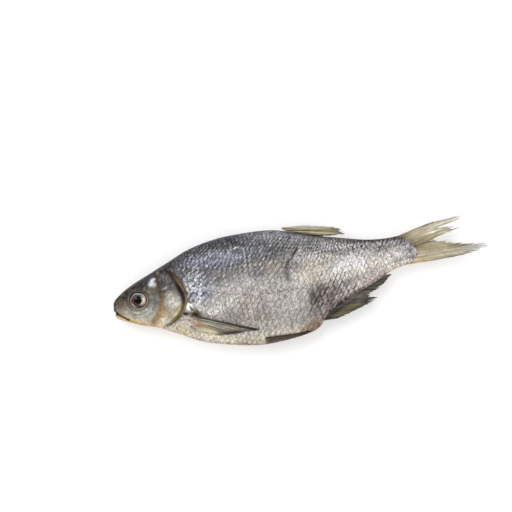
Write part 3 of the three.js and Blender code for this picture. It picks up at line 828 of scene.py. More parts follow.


# The colours of the bands and zones were solved for by a least-squares fit to the
# photograph, and a few were then set one by one. They aren't colours chosen by eye.
headPaint = {
    "bands": [(0, (45, 44, 48)), (0.12, (44, 44, 44)), (0.22, (101, 90, 78)), (0.36, (99, 93, 85)),
              (0.5, (148, 141, 131)), (0.62, (149, 142, 129)), (0.8, (191, 170, 123)), (0.9, (217, 199, 166)),
              (1, (229, 201, 156))],
    "zones": [
        (5, 3, 5, 6, 50, (116, 102, 86), 0.8),  # snout
        (3.4, 3.6, 1.6, 4.6, -42, (44, 44, 43), 0.8),
        (15, 11, 10, 3.4, 32, (71, 53, 50), 0.95),
        (28, 17.6, 9, 3.2, 22, (56, 51, 48), 0.9),
        (31.4, 18.2, 6, 2.6, 24, (12, 11, 11), 0.95),
        (17, -8, 10, 4.5, -8, (192, 191, 187), 0.8),  # cheek
        (27, -8, 5, 5.5, 12, (206, 210, 205), 0.8),
        (30, -1, 3, 7, 0, (94, 109, 124), 0.6),
        (27.6, 3, 2.4, 5, 10, (135, 128, 94), 0.6),
        (24, 10.4, 5, 2.4, 20, (44, 44, 45), 0.6),
        (30.4, 13.2, 1.7, 2.7, -30, (248, 250, 254), 0.98),  # painted highlight on the bump of the temple
        (32.4, 15.4, 1.5, 1.1, 20, (240, 240, 244), 0.95),
        (32.2, 11.4, 1.7, 1.2, 40, (218, 225, 223), 0.8),
        (27.6, 14.6, 2.0, 1.0, 50, (68, 67, 72), 0.6),
        (35.4, 16.2, 1.6, 2.4, 10, (92, 80, 66), 0.8),
        (39.4, 20, 5, 3.4, 28, (48, 45, 44), 0.8),
        (39.6, 15.4, 2.8, 2.0, 10, (49, 46, 46), 0.7),
        (41, 11, 4.5, 4.8, 0, (76, 80, 83), 0.85),
        (39, 4, 2.5, 3.5, 0, (69, 65, 47), 0.6),
        (43.4, -3.4, 5, 6.5, 12, (218, 214, 205), 0.9),  # white middle of the gill cover
        (45.5, -9, 5, 2.6, 40, (242, 232, 197), 0.8),
        (37, -14.4, 5, 3, 25, (221, 228, 219), 0.8),
        (36.7, -6.3, 0.8, 0.9, 0, (64, 66, 70), 0.95),
        (40, 2.4, 0.7, 0.6, 0, (43, 43, 43), 0.8),
        (37.6, 1.2, 0.6, 0.8, 0, (89, 90, 88), 0.8),
        (42.6, 3.6, 0.5, 0.4, 0, (44, 43, 44), 0.7),
        (11, -10.8, 8, 1.8, -25, (243, 215, 146), 0.85),  # lower jaw
        (1.8, -6.4, 2.6, 1.2, -32, (237, 208, 143), 0.85),
        (1.4, -1.6, 1.6, 2.2, 10, (44, 43, 43), 0.85),
        (1.6, -3.9, 1.5, 0.9, -10, (54, 45, 43), 0.9),
        (21, -16.4, 7, 1.4, -20, (179, 141, 98), 0.7),
    ],
    # patches of small marks: middle s, t, spread, turn, how many, colours, strength
    "marks": [
        ((14, 9.5), (9, 3), 30, 90, ((34, 27, 23), (96, 86, 74)), 0.75),
        ((28, 16), (9, 2.6), 24, 90, ((26, 23, 21), (96, 92, 90)), 0.6),
        ((6, 2), (4, 4), 40, 50, ((80, 66, 50), (142, 130, 112)), 0.6),
        ((40, 15), (4, 5), 60, 70, ((58, 54, 52), (150, 148, 150), (112, 96, 74)), 0.7),
        ((26, -2), (5, 9), 10, 80, ((150, 138, 116), (206, 204, 200), (118, 116, 110)), 0.5),
        ((12, -6), (9, 4), -25, 60, ((156, 144, 118), (206, 202, 190)), 0.5),
        ((43, -2), (4, 9), 10, 90, ((190, 178, 150), (246, 246, 244), (150, 144, 134)), 0.55),
        ((37, -12), (5, 4), 30, 50, ((186, 156, 116), (232, 222, 202)), 0.5),
        ((40, 23), (6, 2.4), 32, 50, ((58, 54, 52), (124, 120, 112)), 0.6),
    ],
    "cheekGroove": {"upper": (84, 72, 56), "lower": (194, 162, 112), "seam": (138, 102, 62)},
    "grooveSeams": [(0.2, 0.5), (1.5, 0.55)],  # distance from the groove, strength
    # the rim behind the slit is a tan cord, darker at its top; the slit itself is painted shade
    "gillRim": {"upper": (74, 60, 50), "middle": (142, 122, 84), "lower": (134, 116, 82), "slit": (6, 3, 3)},
    # distance behind the slit, width, colour, strength, and how much of it fades towards the top
    "rimLines": [(1.2, 0.35, (66, 46, 32), 0.85, 0), (2.1, 0.3, (176, 158, 120), 0.5, 1),
                 (2.9, 0.4, (70, 52, 38), 0.8, 0)],
    # path, width, colour, strength
    "lines": [("snoutEdge", 0.9, (62, 48, 38), 0.8), ("mouth", 0.7, (38, 30, 26), 0.95),
              ("jaw", 0.6, (128, 106, 72), 0.6), ("lowerPlate", 0.7, (176, 140, 104), 0.7),
              ("underEye", 0.6, (130, 122, 106), 0.5), ("cheekFold", 0.6, (144, 138, 122), 0.4)],
    # share of the eye opening, width, colour, strength, and how much of it fades below the brow
    "eyeRings": [(1.0, 0.07, (34, 27, 24), 0.92, 0), (1.13, 0.07, (168, 158, 144), 0.7, 0.75),
                 (1.27, 0.08, (70, 58, 48), 0.8, 0), (1.45, 0.06, (96, 86, 74), 0.5, 0)],
    "nostril": (40, 32, 28),
}


def paintCheekGroove(colour, s, t):
    # narrow and grey above, wide and tan below, with two brown seams
    tints = {name: surfaceColour(tint) for name, tint in headPaint["cheekGroove"].items()}
    groove, along = distanceTo(headPaths["cheekGroove"], s, t)
    tint = blend(tints["lower"], tints["upper"], 1 - ease(along, 0.3, 0.62))
    width = 0.7 + 1.5 * ease(along, 0.35, 0.8) + 0.2 * np.sin(t * 2.3)
    colour = blend(colour, tint, (0.7 + 0.15 * ease(along, 0.3, 0.6)) * bell(groove, width))
    for at, strength in headPaint["grooveSeams"]:
        colour = blend(colour, tints["seam"], strength * ease(along, 0.3, 0.5) * bell(groove - at, 0.35))
    return colour


def paintGillRim(colour, s, t):
    tints = {name: surfaceColour(tint) for name, tint in headPaint["gillRim"].items()}
    path = headPaths["gillSlit"]
    slit, along = distanceTo(path, s, t)
    behind = ease(s - np.interp(t, path[::-1, 1], path[::-1, 0]), 0.2, 1.0)
    tint = blend(tints["middle"], tints["upper"], 1 - ease(along, 0.04, 0.3))
    tint = blend(tint, tints["lower"], ease(along, 0.55, 0.8))
    colour = blend(colour, tint, 0.9 * behind * np.exp(-((slit / 3.4) ** 4)))
    for at, width, shade, strength, fading in headPaint["rimLines"]:
        strength = strength * (1 - fading * (1 - ease(along, 0.16, 0.4)))
        colour = blend(colour, surfaceColour(shade), strength * behind * bell(slit - at, width))
    # painted shade in the gill slit
    width = (0.42 + 1.35 * bell(along - 0.38, 0.13)) * (0.45 + 0.55 * ease(along, 0.1, 0.28))
    return blend(colour, tints["slit"], 0.97 * bell(slit, width) * (1 - 0.45 * ease(along, 0.62, 0.8)))


def headColour(s, t):
    colour = paintZones(bandColour(headPaint["bands"], depthShare(s, t)), s, t, headPaint["zones"])
    colour = paintMarks(colour, s, t, headPaint["marks"], 71, turned=True)
    colour = paintGillRim(paintCheekGroove(colour, s, t), s, t)
    for name, width, tint, strength in headPaint["lines"]:
        colour = strokePaint(colour, s, t, headPaths[name], width, tint, strength)
    e = eyeDistance(s, t)
    for at, width, tint, strength, fading in headPaint["eyeRings"]:
        share = strength * (1 - fading * ease(t, 4, 8)) * bell(e - at, width)
        colour = blend(colour, surfaceColour(tint), share)
    for cs, ct, radius in headValues["nostrils"]:
        share = 0.9 * bell(np.hypot(s - cs, t - ct), radius + 0.1)
        colour = blend(colour, surfaceColour(headPaint["nostril"]), share)
    return colour


def buildHead():
    values = headValues
    head = makeBall("headSkin", values["segments"], values["rings"])
    f, turn, share = aroundBall(pointsOf(head))
    reach = np.clip(f / values["rimShare"], 0, 1)
    behind = np.clip((f - values["rimShare"]) / (1 - values["rimShare"]), 0, 1)
    fold = ease(behind, 0, 0.35)
    tuckIn = ease(behind, 0.3, 1)
    s = rimAt(share) * reach - fold * values["tuck"] - tuckIn * 8
    s = np.where(f > 0.999, 40.0, s)
    t, side, height = onSection(s, turn, share, ease(f, 0, 0.016) * (1 - tuckIn))
    # the notch between the lips, seen from above
    s = s + 3.2 * bell(t + 4.0, 0.8) * (1 - ease(s, 0.5, 4.5))
    lift = headRelief(s, t) * (1 - fold) - fold * values["tuck"]
    setPoints(head, toFrame(s, t, side * (height + lift * ease(height, 0, 3))))
    setColour(head, "tint", headColour(s, t))
    smoothFaces(head)
    return finishPiece(head, headSkin)


buildHead()
print("head made")


eyePaint = {
    "ground": (84, 74, 70),
    # share of the opening, width, angle in degrees, spread, colour, strength
    "arcs": [(0.6, 0.2, 95, 52, (114, 112, 114), 0.8), (0.62, 0.24, 190, 46, (110, 78, 74), 0.85),
             (0.64, 0.18, -34, 36, (248, 234, 208), 0.95), (0.73, 0.2, -8, 38, (275, 262, 246), 0.95),
             (0.84, 0.07, 84, 70, (232, 230, 228), 0.85), (0.86, 0.07, -5, 45, (206, 194, 178), 0.8),
             (0.52, 0.04, -38, 32, (62, 52, 46), 0.7), (0.78, 0.035, -38, 36, (74, 62, 54), 0.7),
             (0.74, 0.04, 95, 60, (70, 66, 66), 0.7), (0.82, 0.13, 264, 38, (34, 27, 25), 0.95),
             (0.9, 0.11, 220, 34, (232, 208, 190), 0.95), (0.9, 0.05, 150, 40, (142, 118, 108), 0.6),
             (1.0, 0.06, 0, 999, (32, 25, 23), 0.9)],
    "pupil": (4, 3, 4),
    "glint": [(18.2, 4.2, 0.5, 0.35, 20, (170, 168, 170), 0.8)],
}


def eyeColour(s, t):
    x, y = s - eyeValues["pupil"][0], t - eyeValues["pupil"][1]
    e = eyeDistance(s, t)
    angle = np.degrees(np.arctan2(t - eyeValues["centre"][1], s - eyeValues["centre"][0]))
    colour = np.broadcast_to(surfaceColour(eyePaint["ground"]), (len(s), 3))
    for at, width, middle, spread, tint, strength in eyePaint["arcs"]:
        off = (angle - middle + 180) % 360 - 180
        wobble = 0.03 * np.sin(np.radians(angle) * 5 + at * 9)
        share = strength * bell(e - at + wobble, width) * bell(off, spread)
        colour = blend(colour, surfaceColour(tint), share)
    turn = np.arctan2(y, x)
    r = np.hypot(x, y) / eyeValues["pupilRadius"] * (1 + 0.1 * np.sin(3 * turn + 1) + 0.06 * np.sin(7 * turn))
    colour = blend(colour, surfaceColour(eyePaint["pupil"]), 1 - ease(r, 0.94, 1.08))
    return paintZones(colour, s, t, eyePaint["glint"])


def buildEye(name, side):
    values = eyeValues
    eye = makeBall(name, values["segments"], values["rings"])
    ball = pointsOf(eye)
    s = values["centre"][0] + ball[:, 0] * values["radius"][0] * values["overlap"]
    t = values["centre"][1] + ball[:, 1] * values["radius"][1] * values["overlap"]
    x, y = s - values["pupil"][0], t - values["pupil"][1]
    height, reach = values["lens"]
    depth, at, width = values["hollow"]
    r = np.hypot(x, y)
    shape = (height * np.exp(-((r / reach) ** 4)) - depth * bell(r - at, width)) * (ball[:, 2] > 0)
    z = flankHeight(s, t) - values["sink"] + ball[:, 2] * values["dome"] + shape
    setPoints(eye, toFrame(s, t, side * z))
    if side < 0:
        turnFaces(eye)
    setColour(eye, "tint", eyeColour(s, t))
    smoothFaces(eye)
    return finishPiece(eye, driedEye)


buildEye("eyeUpper", 1)
buildEye("eyeUnder", -1)
print("eyes made")


scaleValues = {
    # distance from the snout, pitch along a row, distance between rows
    # and the share of a pitch that each row stands ahead of the one below
    "pitches": [(36, 2.9, 3.0, -0.25), (60, 3.15, 3.2, -0.24), (80, 3.5, 3.6, -0.16), (100, 3.9, 4.1, -0.08),
                (118, 4.3, 4.2, -0.07), (135, 3.8, 3.7, -0.14), (150, 3.5, 3.3, -0.25),
                (175, 3.55, 3.2, -0.33), (195, 3.3, 3.0, -0.35), (205, 2.8, 2.6, -0.35),
                (214, 1.9, 1.9, -0.35)],
    "closerBack": 0.4,  # how much closer the rows and scales stand on the back
    "length": 2.1,  # of a scale, in pitches
    "width": 2.05,  # of a scale, in row distances
    "point": 0.28,  # of its free edge
    "tilt": 0.085,
    "crown": 0.16,  # how far its middle line stands up
    "sink": 0.06,
    "wall": 0.28,
    "columns": 6,
    "rows": 5,
    # how far single scales differ from the rule: place along and across, size, turn, tilt, lift, tone
    "shift": (0.13, 0.1),
    "sizeSpread": 0.05,
    "turnSpread": 0.06,
    "tiltSpread": 0.12,
    "liftSpread": 0.03,
    "toneSpread": 0.09,
    "bare": [(57.4, -17.6, 8.6, 7.6), (51.6, -8.6, 4.8, 6.4)],  # no scales at the root of the breast fin
    # t and s of the curve where the last scales end
    "end": [(-4, 211), (-3.4, 213.9), (-0.2, 218.3), (2.7, 219.4), (6, 218.2), (9.6, 216), (13, 213),
            (15.4, 210), (17.5, 205)],
    # where the lines between the scales, the crumpled silver and the silver flecks with their painted glints
    # are stronger
    "net": [(0.7, 153, -17, 15, 14), (0.3, 61, 4, 7, 12), (0.42, 95, -15, 11, 7), (-0.2, 172, 6, 16, 5)],
    "crumple": [(0.22, 60, 3, 9, 14)],
    "silverGlint": [(0.7, 58, -1, 8, 11), (0.35, 152, -17, 15, 14)],
}


def scaleBlank():
    # one scale, modelled flat: x runs to its free edge, with a small wall below that edge
    return makeGrid("scaleBlank", scaleValues["rows"] + 1, scaleValues["columns"])


def sectionArc(s):
    # t, height and length along the skin from the side line, for one section of the flank
    turn = np.linspace(0.02, math.pi - 0.02, 240)
    share = ((1 - np.cos(turn)) / 2) ** (1 / depthSkew)
    back, belly = backAt(s), bellyAt(s)
    t = back - (back - belly) * share
    z = flankHeight(np.full_like(t, s), t)
    length = np.concatenate([[0], np.cumsum(np.hypot(np.diff(t), np.diff(z)))])
    return t, length - np.interp(-float(sideLineAt(s)), -t, length)


def pitchCurve(column):
    places, values = np.array(scaleValues["pitches"])[:, (0, column)].T
    return lambda s: np.interp(s, places, values)


alongPitch, acrossPitch, rowStagger = (pitchCurve(column) for column in (1, 2, 3))


def tailRootAt(t):
    end = np.array(scaleValues["end"])
    return np.interp(t, end[:, 0], end[:, 1])


def rowPlace(row):
    # rows stand closer together towards the back
    closer = scaleValues["closerBack"]
    return row if row <= 0 else (1 - closer) * row + closer * 6 * (1 - math.exp(-row / 6))


def rowCloseness(row):
    closer = scaleValues["closerBack"]
    return 1 if row <= 0 else 1 - closer + closer * math.exp(-row / 6)


def rowPitch(row):
    # and so do the scales of such a row
    return 1 - 0.33 * float(ease(row, 3.5, 9.5))


def isBare(s, t):
    return any(ovalDistance(s, t, *oval) < 1 for oval in scaleValues["bare"])


def scalePlaces():
    # where every scale of a flank lies, by its row and its number in the row
    stations = np.arange(30, 222, 0.5)
    count = np.concatenate([[0], np.cumsum(0.5 / alongPitch(stations[:-1]))])
    count -= np.interp(104, stations, count)
    arcs = [sectionArc(s) for s in stations]
    places = {}
    for row in range(-24, 30):
        rowAt = np.array([np.interp(-rowPlace(row) * d, arc[1], arc[0], left=np.nan, right=np.nan)
                          for d, arc in zip(acrossPitch(stations), arcs)])
        step = rowPitch(row)
        first = math.ceil(count[0] / step) - 8
        last = math.floor(count[-1] / step) + 8
        for k in range(first, last + 1):
            ahead = float(rowStagger(np.interp(k * step, count, stations)))
            place = (k + ahead * row) * step
            if not count[0] < place < count[-1]:
                continue
            s = float(np.interp(place, count, stations))
            t = float(np.interp(s, stations, rowAt))
            slope = float(np.interp(s + 1, stations, rowAt) - np.interp(s - 1, stations, rowAt)) / 2
            if not math.isnan(t):
                places[row, k] = (s, t, 0.0 if math.isnan(slope) else slope)
    return places


def scaleCell(places, row, k):
    # the two sides of a scale's cell: to the next scale of its row, and towards the back
    s, t, slope = places[row, k]
    p = float(alongPitch(s)) * rowPitch(row)
    q = float(acrossPitch(s)) * rowCloseness(row) / math.hypot(1.0, slopeAcross(s, t))
    long = math.hypot(1.0, slope)
    lean = (0.5 + float(rowStagger(s))) * p
    along = np.array([p, p * slope]) / long
    across = np.array([lean - q * slope, lean * slope + q]) / long
    upper, lower = places.get((row + 1, k)), places.get((row - 1, k - 1))
    if row < 3 and upper and lower:
        # below the rows that stand closer, the neighbours themselves say where the cell lies
        toUpper = np.array([upper[0] - s, upper[1] - t])
        toLower = np.array([lower[0] - s, lower[1] - t])
        along, across = -(toUpper + toLower), (toUpper - toLower) / 2
    return along, across


def netStrength(s, t):
    # how dark the lines between the scales are
    net = 0.24 + 0.4 * (1 - ease(depthShare(s, t), 0.12, 0.4)) + 0.25 * ease(s, 120, 160)
    return np.clip(net + mounds(s, t, scaleValues["net"]), 0, 0.97)


def buildScales(name, side, seed):
    values = scaleValues
    chance = np.random.default_rng(seed)
    blank = scaleBlank()
    flat = pointsOf(blank)
    steps = values["rows"] + 1
    b = np.clip((flat[:, 0] + 1) / 2 * steps / values["rows"], 0, 1)  # 0 at the root, 1 at the free edge
    isWall = flat[:, 0] > 0.999
    a = flat[:, 1]
    allPoints, tints, nets, silverGlints, pores = [], [], [], [], []
    onScale, allS, allT = [], [], []
    places = scalePlaces()
    for (row, k), (s, t, _) in places.items():
        rim = float(rimAt(depthShare(s, t)))
        if isBare(s, t) or s < rim - 2.6 or s > float(tailRootAt(t)) - 0.6:
            continue
        along, across = scaleCell(places, row, k)
        s, t = s + chance.normal(0, values["shift"][0]), t + chance.normal(0, values["shift"][1])
        nearEnd = float(ease(s - tailRootAt(t), -9, -1))
        size = (1 + chance.normal(0, values["sizeSpread"] + 0.1 * nearEnd)) * (1 - 0.1 * nearEnd)
        # x and y in cells of the scales' net
        x = values["length"] * size * (b * (1 - values["point"] * a * a / (np.abs(a) + 0.15)) - 0.5)
        y = a * values["width"] * 0.5 * size * (0.72 + 0.28 * np.sin(math.pi * np.clip(b, 0.1, 0.75)))
        onScale.append(np.stack([x, y], axis=1))
        pitch = float(np.hypot(*along))
        lift = values["tilt"] * x * pitch * (1 + chance.normal(0, values["tiltSpread"]))
        lift += values["crown"] * (1 - a * a) - values["sink"] + chance.normal(0, values["liftSpread"])
        lift += y * float(np.hypot(*across)) * chance.normal(0, values["liftSpread"]) - 0.12 * nearEnd
        lift = np.where(isWall, lift - values["wall"], lift)
        x = np.where(isWall, x - 0.01, x)
        offset = x[:, None] * along + y[:, None] * across
        turn = chance.normal(0, values["turnSpread"])
        ps = s + offset[:, 0] * math.cos(turn) - offset[:, 1] * math.sin(turn)
        pt = t + offset[:, 0] * math.sin(turn) + offset[:, 1] * math.cos(turn)
        beyond = ps - tailRootAt(pt)  # the last scales end in one curve
        ps = np.where(beyond > 0, ps - 0.75 * beyond, ps)
        allPoints.append(scalePoint(ps, pt, side, lift))
        allS.append(ps)
        allT.append(pt)
        tints.append(np.full((len(b), 1), 1 + chance.normal(0, values["toneSpread"])))
        nets.append(np.full(len(b), float(netStrength(s, t)) * (0.55 + 0.6 * chance.random())))
        glint = ease(chance.random(), 0.25, 1.0)
        silverGlints.append(np.full(len(b), glint * float(silverGlintShare(s, t))))
        pore = (row == 0) * (chance.random() > 0.2) * chance.uniform(0.35, 0.85)
        pores.append(np.full(len(b), pore * (1 - 0.6 * float(ease(s, 130, 142)))))
    piece = copiesJoined(name, blank, allPoints)
    if side < 0:
        turnFaces(piece)
    tint = flankColour(np.concatenate(allS), np.concatenate(allT), True) * np.concatenate(tints)
    setColour(piece, "tint", tint)
    setValue(piece, "crumple", crumpleShare(np.concatenate(allS), np.concatenate(allT)))
    setValue(piece, "net", np.concatenate(nets))
    setValue(piece, "silverGlint", np.concatenate(silverGlints))
    setValue(piece, "pore", np.concatenate(pores))
    setMap(piece, "scaleMap", np.concatenate(onScale))
    smoothFaces(piece, 40)
    return finishPiece(piece, scaledSkin)


def slopeAcross(s, t):
    return float((flankHeight(s, t + 0.5) - flankHeight(s, t - 0.5)))


def scalePoint(s, t, side, lift):
    height = flankHeight(s, t)
    inHead = 1 - ease(s - rimAt(depthShare(s, t)), -2.0, -0.6)
    relief = (trunkRelief(s, t) - trunkValues["underHead"] * inHead) * ease(height, 0, 3)
    inside = ease(height, 0.0, 2.0)
    z = side * (height + relief + lift * (0.3 + 0.7 * inside))
    return toFrame(s, np.clip(t, bellyAt(s), backAt(s)), z)


def crumpleShare(s, t):
    # how strongly the silver is crumpled
    share = depthShare(s, t)
    rough = 0.28 + 0.14 * (1 - ease(share, 0.2, 0.42)) + 0.04 * ease(s, 150, 200)
    smooth = 0.04 * ease(share, 0.84, 0.93) * (1 - ease(s, 105, 135))
    return rough - smooth + mounds(s, t, scaleValues["crumple"])


def silverGlintShare(s, t):
    # how many silver flecks with painted glints show
    share = depthShare(s, t)
    upper = bell(share - 0.24, 0.13) * (1 - ease(s, 110, 150))
    belly = bell(share - 0.9, 0.1) * (1 - ease(s, 110, 135))
    return np.clip(0.22 + 0.35 * upper + 0.6 * belly + mounds(s, t, scaleValues["silverGlint"]), 0, 1)


buildScales("scalesUpper", 1, 11)
buildScales("scalesUnder", -1, 12)
print("scales laid")


# what all fins share, in millimetres unless a note says otherwise
finHabit = {
    "rayPlace": 0.2,  # how far a ray stands off its even place, in ray distances
    "branchGap": 0.42,  # in ray distances
    "branchRadius": 0.8,  # of the main ray's
    "sway": 0.35,
    "tipBend": 0.3,
    "rayLift": (0.12, 0.05, 0.1),  # of the rods above the web, its spread, and that of the tips
    "webFold": 0.16,
    "webRipple": 0.35,
    "torn": (0.16, 0.93),  # how far some columns of the web are torn back, and how many are not
    "webThickness": 0.3,
    "rootSunk": 1.1,
    "tipShade": 0.2,
}

# Each fin lists its main rays from the back side to the belly side: root s, t, tip s, t.
# tones are seen colours: of the web, of the rays, and of the darker rays
tailFinValues = {
    "rays": [(203, 16.2, 232, 22.9), (206, 15.8, 255.6, 25.2), (207, 14.2, 259.4, 23),
             (207.6, 13.2, 247, 20.6), (208, 12.2, 240.3, 19.4), (209, 11.4, 249, 18),
             (209, 10.2, 256, 16.2), (209, 9, 241, 13.2),
             (209, 7.6, 231.9, 10.4), (209, 6.4, 236, 9.8), (209, 5.2, 243, 8.6), (209, 4.2, 250, 6.2),
             (209, 3.2, 257, 4), (208.4, 2, 266, 2.9), (208, 0.9, 272.4, 1.7), (207, -0.4, 272.6, 0.3),
             (206.5, -1.2, 269, -1.7), (206, -1.8, 261.6, -3.2), (205, -2.6, 250, -3.9),
             (203, -3.4, 236, -4)],
    "rayCount": 25,
    "branches": 3,
    "fork": 0.42,  # where the rays fork
    "steps": 14,
    "radius": (0.36, 0.11),
    "webColumns": 150,
    "webShort": 0.13,
    "ragged": 4.5,
    "wave": 0.5,
    "tones": [(208, 197, 166), (234, 225, 198), (184, 172, 140)],
    "zones": [(214, 9, 6, 6, 0, (118, 106, 82), 0.7), (214, -2, 12, 3, 0, (230, 200, 154), 0.9),
              (222, 12, 8, 3.4, 12, (176, 160, 126), 0.7), (236, 19.2, 9, 3, 14, (262, 252, 230), 0.85),
              (222, 6, 9, 2.6, 0, (162, 146, 112), 0.8), (238, 3.4, 12, 3, 2, (196, 186, 156), 0.6),
              (211, 15.4, 7, 2, 25, (130, 116, 88), 0.7), (222, 8.6, 12, 1.0, 8, (106, 86, 56), 0.7),
              (231, 11, 7, 1.2, 20, (150, 136, 108), 0.5), (261, 0.6, 8, 4, 0, (252, 252, 250), 0.8),
              (270, 0.2, 3, 2, 0, (70, 68, 64), 0.85), (251, 22, 10, 4, 10, (264, 262, 252), 0.85),
              (250, 4, 7, 2.4, 0, (138, 134, 118), 0.7), (245, -4, 22, 0.8, -1, (128, 120, 100), 0.7),
              (225, 21.4, 24, 0.7, 12, (160, 154, 138), 0.7)],
}
analFinValues = {
    "rays": [(189, -8.6, 199, -9), (181, -12.6, 194.2, -13.4), (173, -15.6, 188.4, -17.4),
             (167, -18, 181.4, -19.8), (161, -21, 181, -22.6), (156, -23.6, 186.5, -23.2),
             (151, -26.5, 180, -27), (146, -30.5, 170, -30),
             (143, -33, 156, -33.6)],
    "rayCount": 27,
    "branches": 2,
    "fork": 0.5,
    "steps": 10,
    "radius": (0.36, 0.14),
    "webColumns": 110,
    "webShort": 0.06,
    "ragged": 1.0,
    "wave": 0.35,
    "tones": [(112, 110, 102), (136, 132, 118), (66, 60, 52)],
    "zones": [(163, -28.6, 8, 2.0, 14, (128, 112, 74), 0.85), (165, -25, 6, 1.6, 20, (86, 80, 66), 0.7),
              (158, -27, 14, 1.6, 28, (56, 44, 48), 0.9),
              (170, -20.0, 10, 1.4, 26, (160, 150, 146), 0.85), (180, -15.6, 14, 1.4, 24, (92, 78, 66), 0.85),
              (181, -24.4, 9, 2.4, 14, (72, 68, 64), 0.85), (163, -33, 16, 0.7, 8, (56, 48, 42), 0.8),
              (187, -22.8, 3, 1.0, 20, (74, 76, 74), 0.7)],
}
backFinValues = {
    "rays": [(127, 36.2, 143, 35.5), (127.4, 35.6, 157.5, 32.2), (128.4, 34.8, 168, 29.4),
             (130.4, 33.6, 171, 24.6), (134, 32.3, 163, 25), (140, 30.2, 155, 26)],
    "rayCount": 15,
    "branches": 2,
    "fork": 0.5,
    "steps": 14,
    "radius": (0.4, 0.16),
    "webColumns": 60,
    "webShort": 0.05,
    "ragged": 1.4,
    "wave": 0.3,
    "lift": 0.7,
    "tones": [(176, 163, 128), (206, 194, 160), (128, 112, 84)],
    # the first zone is a painted shadow along the fin's lower edge
    "zones": [(152, 26.4, 20, 1.4, -13, (30, 28, 28), 0.97), (149, 28.9, 14, 0.9, -12, (240, 230, 200), 0.85),
              (147, 34.4, 20, 1.3, -8, (238, 234, 224), 0.85), (168, 27.5, 6, 4, 0, (150, 148, 142), 0.85),
              (140, 30.6, 12, 0.8, -14, (92, 76, 52), 0.7)],
}
breastFinValues = {
    "rays": [(55.4, -14.2, 101, -31.9), (54.6, -16, 95, -32), (53.8, -18.2, 84, -32.3),
             (54, -21, 73, -31.7), (56.4, -23.8, 63, -27.2)],
    "rayCount": 19,
    "branches": 3,
    "fork": 0.35,
    "steps": 14,
    "radius": (0.38, 0.12),
    "webColumns": 72,
    "webShort": 0.04,
    "ragged": 0.9,
    "wave": 0.25,
    "lift": 0.8,
    "tones": [(140, 134, 118), (182, 175, 156), (128, 121, 106)],
    "zones": [(78, -23.4, 27, 1.1, -22, (34, 28, 24), 0.97), (59.4, -15.4, 6.4, 1.7, -18, (12, 8, 8), 1.0),
              (58.4, -21.8, 4.6, 2.4, -20, (182, 148, 118), 0.85),
              (62, -24.0, 4, 1.0, -24, (150, 110, 80), 0.6), (58, -18.2, 4, 1.4, -10, (158, 140, 110), 0.7),
              (65, -27.4, 8, 2.4, -30, (232, 220, 178), 0.85), (81, -30.6, 10, 1.5, -3, (76, 64, 66), 0.92),
              (78, -25.4, 16, 1.2, -22, (132, 130, 124), 0.5), (96, -30.6, 8, 1.4, -22, (52, 47, 42), 0.9)],
}
bellyFinValues = {
    "rays": [(101.7, -38.4, 137, -39.4), (102, -40, 131, -40.8), (103, -41.4, 119, -42.4)],
    "rayCount": 9,
    "branches": 2,
    "fork": 0.5,
    "steps": 12,
    "radius": (0.42, 0.16),
    "webColumns": 36,
    "webShort": 0.03,
    "ragged": 0.7,
    "wave": 0.2,
    "lift": 0.7,
    "tones": [(84, 70, 60), (102, 84, 70), (56, 46, 42)],
    "zones": [(102.4, -39.6, 2.0, 2.4, 0, (176, 160, 140), 0.85), (106, -38.8, 3, 0.8, 0, (58, 48, 42), 0.8),
              (112, -41.8, 9, 0.7, -4, (130, 98, 78), 0.4),
              (132, -40, 6, 1, 0, (54, 48, 42), 0.7), (120, -38.6, 18, 0.6, -2, (48, 40, 36), 0.8)],
}


def rayBlank(steps):
    # a thin six-sided rod with a ring of edges at every step
    deselectAll()
    bpy.ops.mesh.primitive_cylinder_add(vertices=6, radius=1, depth=2, end_fill_type="TRIFAN")
    blank = named("rayBlank")
    bpy.ops.object.mode_set(mode="EDIT")
    bpy.ops.mesh.select_all(action="DESELECT")
    bpy.ops.object.mode_set(mode="OBJECT")
    points = pointsOf(blank)
    for edge in blank.data.edges:
        ends = [points[v] for v in edge.vertices]
        edge.select = abs(ends[0][2] - ends[1][2]) > 1
    bpy.context.tool_settings.mesh_select_mode = (False, True, False)
    bpy.ops.object.mode_set(mode="EDIT")
    bpy.ops.mesh.subdivide(number_cuts=steps - 1)
    bpy.ops.object.mode_set(mode="OBJECT")
    return blank


def acrossFin(values, share):
    # root and tip in the fish's plane at a share of the way from the first ray to the last
    rays = np.array(values["rays"], float)
    at = np.clip(share, 0, 1) * (len(rays) - 1)
    columns = [np.interp(at, np.arange(len(rays)), rays[:, i]) for i in range(4)]
    return np.stack(columns[:2], axis=-1), np.stack(columns[2:], axis=-1)


def finHeight(values, s, t, side, along):
    # fins of the middle plane lie at 0, the others on the flank
    if "lift" not in values:
        return np.zeros_like(s)
    height = flankHeight(s, t)
    return side * (height + values["lift"] - finHabit["rootSunk"] * (1 - ease(along, 0, 0.1)))


def finTint(values, s, t, along, tone, keep):
    # keep is how much of the tone stays under the zones
    tone = surfaceColour(tone)
    painted = paintZones(np.broadcast_to(tone, (len(s), 3)), s, t, values["zones"])
    painted = painted * (1 - keep) + painted * keep * (tone / surfaceColour(values["tones"][0]))
    tipShade = (finHabit["tipShade"] * ease(along, 0.7, 1.0))[..., None]
    return painted * (1 - tipShade)


